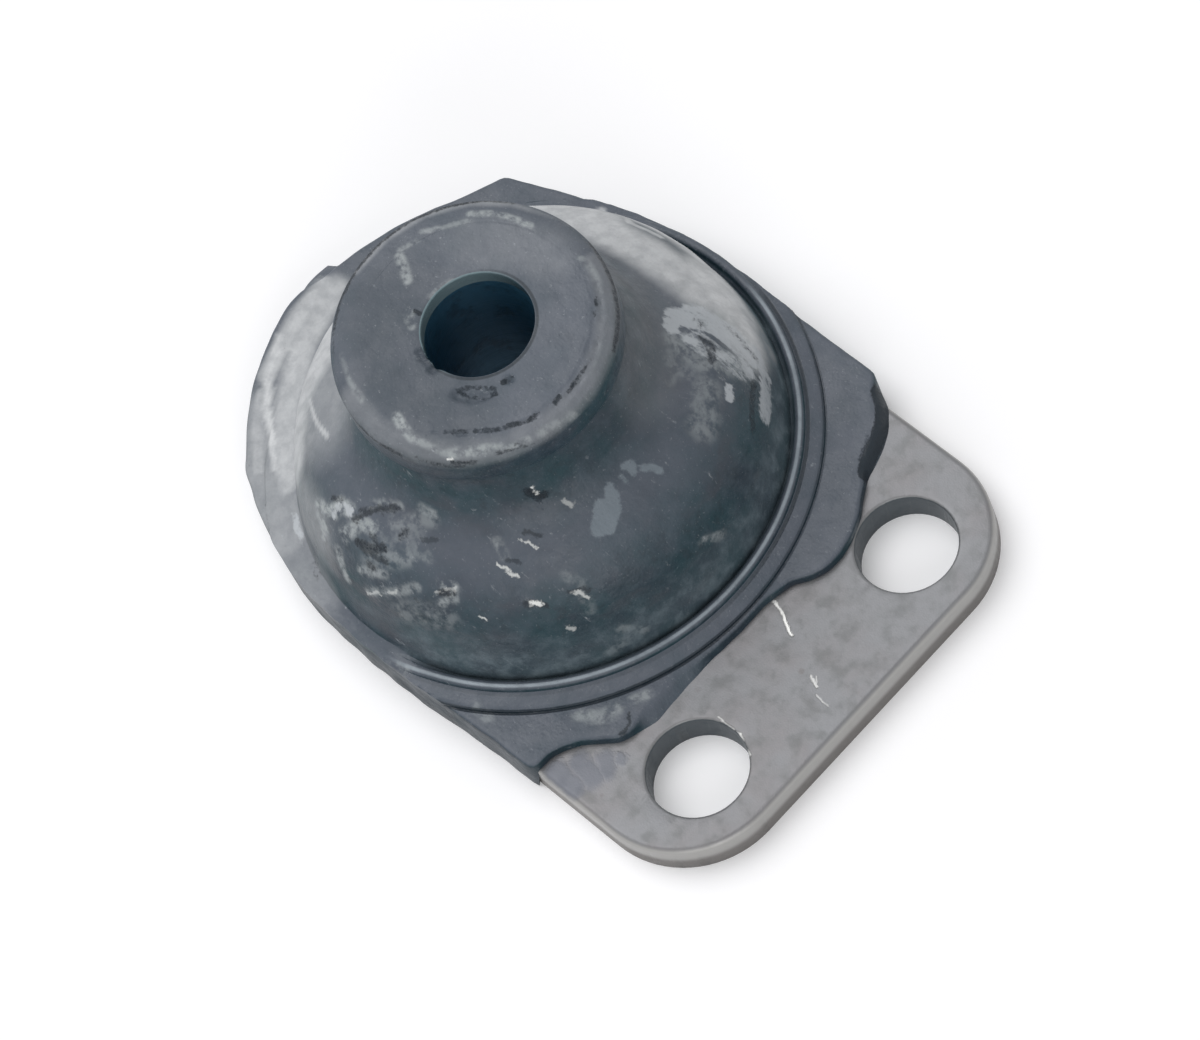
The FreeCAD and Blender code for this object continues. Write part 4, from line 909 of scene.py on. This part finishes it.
def makeSteelMaterial():
    material, tree = newMaterial("stampedSteel")
    place = millimetres(tree)
    broad = patches(tree, place, *plate["broad"])
    small = patches(tree, place, *plate["small"])
    colour = cover(tree, plate["steel"], plate["warm"], broad)
    colour = cover(tree, colour, plate["green"], small, 0.4)
    mottle = patches(tree, place, *plate["mottle"])
    colour = cover(tree, colour, plate["worn"], mottle, 0.2)
    # the sides: the rolled edge worn brighter, and painted light where they turn from the lamp;
    # darker towards the bottom and in the bolt holes
    side = easeBetween(tree, lookingUp(tree), 0.97, 0.45)
    colour = cover(tree, colour, plate["edge"], side)
    height = addNode(tree, "SeparateXYZ", {"Vector": place}).outputs["Z"]
    foot = times(tree, side, easeBetween(tree, height, 2.5, 1.4))
    colour = cover(tree, colour, plate["foot"], foot)
    mirrored = vectorMaths(tree, "ABSOLUTE", place)
    fromHole = vectorMaths(tree, "SUBTRACT", mirrored, boltHoles[0].to_3d())
    nearHole = maths(tree, "LESS_THAN", flatLength(tree, fromHole), holeRadius + 0.2)
    colour = cover(tree, colour, plate["bore"], times(tree, side, nearHole))
    film = addMarks(tree, unsteady(tree, place, 2.0, 1.6), plate["smears"])
    colour = cover(tree, colour, plate["film"], film)
    scratches = addMarks(tree, unsteady(tree, place, 1.5, 0.7), plate["scratches"])
    colour = cover(tree, colour, plate["scratch"], scratches)
    spots = dots(tree, place, spacing=3.5, radius=0.14, amount=0.35)
    colour = cover(tree, colour, plate["spot"], spots, 0.6)
    roughness = easeBetween(tree, small, 0.0, 1.0, 0.42, 0.56)
    metallic = easeBetween(tree, film, 0.0, 1.0, 0.4, 0.0)
    surface = addNode(tree, "BsdfPrincipled", {"Base Color": colour, "Roughness": roughness,
                                               "Metallic": metallic})
    finishMaterial(tree, surface, [
        (broad, 0.05), (addNoise(tree, place, 5.0, 3.0)["Fac"], 0.02),
        (maths(tree, "SUBTRACT", film, scratches), 0.08),
    ])
    return material


def makePlate():
    material = makeSteelMaterial()
    bm = bmesh.new()
    bm.from_mesh(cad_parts["base_plate"].data)
    bmesh.ops.transform(bm, matrix=Matrix.Scale(1 / mm, 4), verts=bm.verts)
    bmesh.ops.remove_doubles(bm, verts=bm.verts, dist=0.001)
    bmesh.ops.dissolve_limit(bm, angle_limit=math.radians(0.5), verts=bm.verts, edges=bm.edges)

    def onRim(vert):
        return abs(vert.co.z - bell["plateTop"]) < 0.01 and any(
            abs((vert.co.to_2d() - hole).length - holeRadius) < 0.05 for hole in boltHoles)

    rims = [edge for edge in bm.edges if onRim(edge.verts[0]) and onRim(edge.verts[1])
            and len(edge.link_faces) == 2 and edge.calc_face_angle() > 1]
    bmesh.ops.bevel(bm, geom=rims, offset=plate["holeRound"], offset_type="OFFSET", affect="EDGES",
                    segments=3, profile=0.5, material=-1)
    bmesh.ops.triangulate(bm, faces=bm.faces)
    # cut along a grid, so that the flat top can sink a little in places
    for direction, low, high in ((Vector((1, 0, 0)), -32, 48), (Vector((0, 1, 0)), -26, 26)):
        for cut in range(low, high, plate["grid"]):
            bmesh.ops.bisect_plane(bm, geom=bm.verts[:] + bm.edges[:] + bm.faces[:], dist=0.0001,
                                   plane_co=direction * (cut + 0.37), plane_no=direction)
    for vert in bm.verts:
        if vert.co.z > 3.95 and vert.co.x > 32:
            vert.co.z -= 0.05 * max(wobble(vert.co, 11.0, 21), 0)
    bmesh.ops.transform(bm, matrix=Matrix.Scale(mm, 4), verts=bm.verts)
    finishPiece("steelPlate", bm, material, "base_plate", 32)


bush = {"steel": (60, 106, 132), "stain": (34, 62, 80), "stains": (3.0, 4.0, 0.5, 0.7)}


def makeBushMaterial():
    material, tree = newMaterial("turnedSteel")
    place = millimetres(tree)
    rings = millimetres(tree, stretch=(0.05, 0.05, 1))
    stain = patches(tree, place, *bush["stains"])
    turned = addNoise(tree, rings, 6.0, 2.0)["Fac"]
    colour = cover(tree, bush["steel"], bush["stain"], stain, 0.6)
    roughness = easeBetween(tree, turned, 0.3, 0.7, 0.32, 0.48)
    surface = addNode(tree, "BsdfPrincipled", {"Base Color": colour, "Roughness": roughness,
                                               "Metallic": 0.6})
    finishMaterial(tree, surface, [(turned, 0.02), (stain, 0.02)])
    return material


studio = {
    "floor": (238, 238, 240), "floorGlow": 0.19, "floorHalf": 3.0,
    "keyPlace": (-0.47, -0.08, 0.87), "keySize": 0.9, "keyPower": 5.0,
    "fillPlace": (0.75, -0.5, 0.42), "fillSize": 0.6, "fillPower": 2.0,
    "lampDistance": 0.8, "sky": 0.36,
}

# a long lens from the front left corner, about 60 degrees above the floor
view = {
    "lens": 180.0, "sensor": 36.0, "place": (0.30195, -0.12095, 0.55575),
    "right": (0.701337, 0.676375, -0.225040), "up": (-0.545068, 0.712304, 0.442180),
}


def addLamp(name, place, size, power):
    light = bpy.data.lights.new(name, "AREA")
    light.shape, light.size, light.energy = "DISK", size, power
    lamp = bpy.data.objects.new(name, light)
    position = Vector(place).normalized() * studio["lampDistance"]
    turn = position.to_track_quat("Z", "Y").to_matrix().to_4x4()
    lamp.matrix_world = Matrix.Translation(position) @ turn
    bpy.context.scene.collection.objects.link(lamp)


def seenDirectly(tree):
    # camera rays, and what metal or glass mirrors
    rays = addNode(tree, "LightPath").outputs
    seen = maths(tree, "MAXIMUM", rays["Is Camera Ray"], rays["Is Glossy Ray"])
    return maths(tree, "MAXIMUM", seen, rays["Is Transmission Ray"])


def addBySight(tree, others, direct, outputKind):
    # one shader for what is seen directly, another for the light that it sends elsewhere
    mixed = addNode(tree, "MixShader", {0: seenDirectly(tree), 1: others.outputs[0],
                                        2: direct.outputs[0]})
    tree.links.new(mixed.outputs[0], addNode(tree, outputKind).inputs["Surface"])


def makeStudio():
    world = bpy.data.worlds.new("studio")
    world.use_nodes = True
    bpy.context.scene.world = world
    tree = world.node_tree
    tree.nodes.clear()
    plain = addNode(tree, "Background", {"Color": (1, 1, 1, 1), "Strength": studio["sky"]})
    white = addNode(tree, "Background", {"Color": (1, 1, 1, 1), "Strength": 1.0})
    addBySight(tree, plain, white, "OutputWorld")

    material, tree = newMaterial("paleFloor")
    cloth = addNode(tree, "BsdfDiffuse", {"Color": paint(studio["floor"])})
    glow = addNode(tree, "Emission", {"Color": (1, 1, 1, 1), "Strength": studio["floorGlow"]})
    lit = addNode(tree, "AddShader", {0: cloth.outputs[0], 1: glow.outputs[0]})
    addBySight(tree, cloth, lit, "OutputMaterial")
    bm = bmesh.new()
    bmesh.ops.create_grid(bm, x_segments=1, y_segments=1, size=studio["floorHalf"])
    mesh = bpy.data.meshes.new("floor")
    bm.to_mesh(mesh)
    bm.free()
    mesh.materials.append(material)
    floor = bpy.data.objects.new("floor", mesh)
    bpy.context.scene.collection.objects.link(floor)
    for name in ("key", "fill"):
        addLamp(name, studio[name + "Place"], studio[name + "Size"], studio[name + "Power"])


def makeCamera():
    data = bpy.data.cameras.new("camera")
    data.sensor_fit, data.sensor_width, data.lens = "HORIZONTAL", view["sensor"], view["lens"]
    camera = bpy.data.objects.new("camera", data)
    right, up = Vector(view["right"]), Vector(view["up"])
    turn = Matrix((right, up, right.cross(up))).transposed().to_4x4()
    camera.matrix_world = Matrix.Translation(view["place"]) @ turn
    bpy.context.scene.collection.objects.link(camera)
    bpy.context.scene.camera = camera


bpy.context.scene.view_settings.view_transform = "Standard"
makeStudio()
makeCamera()
print("studio and camera ready")
makeRubber()
makePlate()
bushMaterial = makeBushMaterial()
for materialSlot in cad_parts["centre_bush"].material_slots:
    materialSlot.material = bushMaterial
print("materials ready")
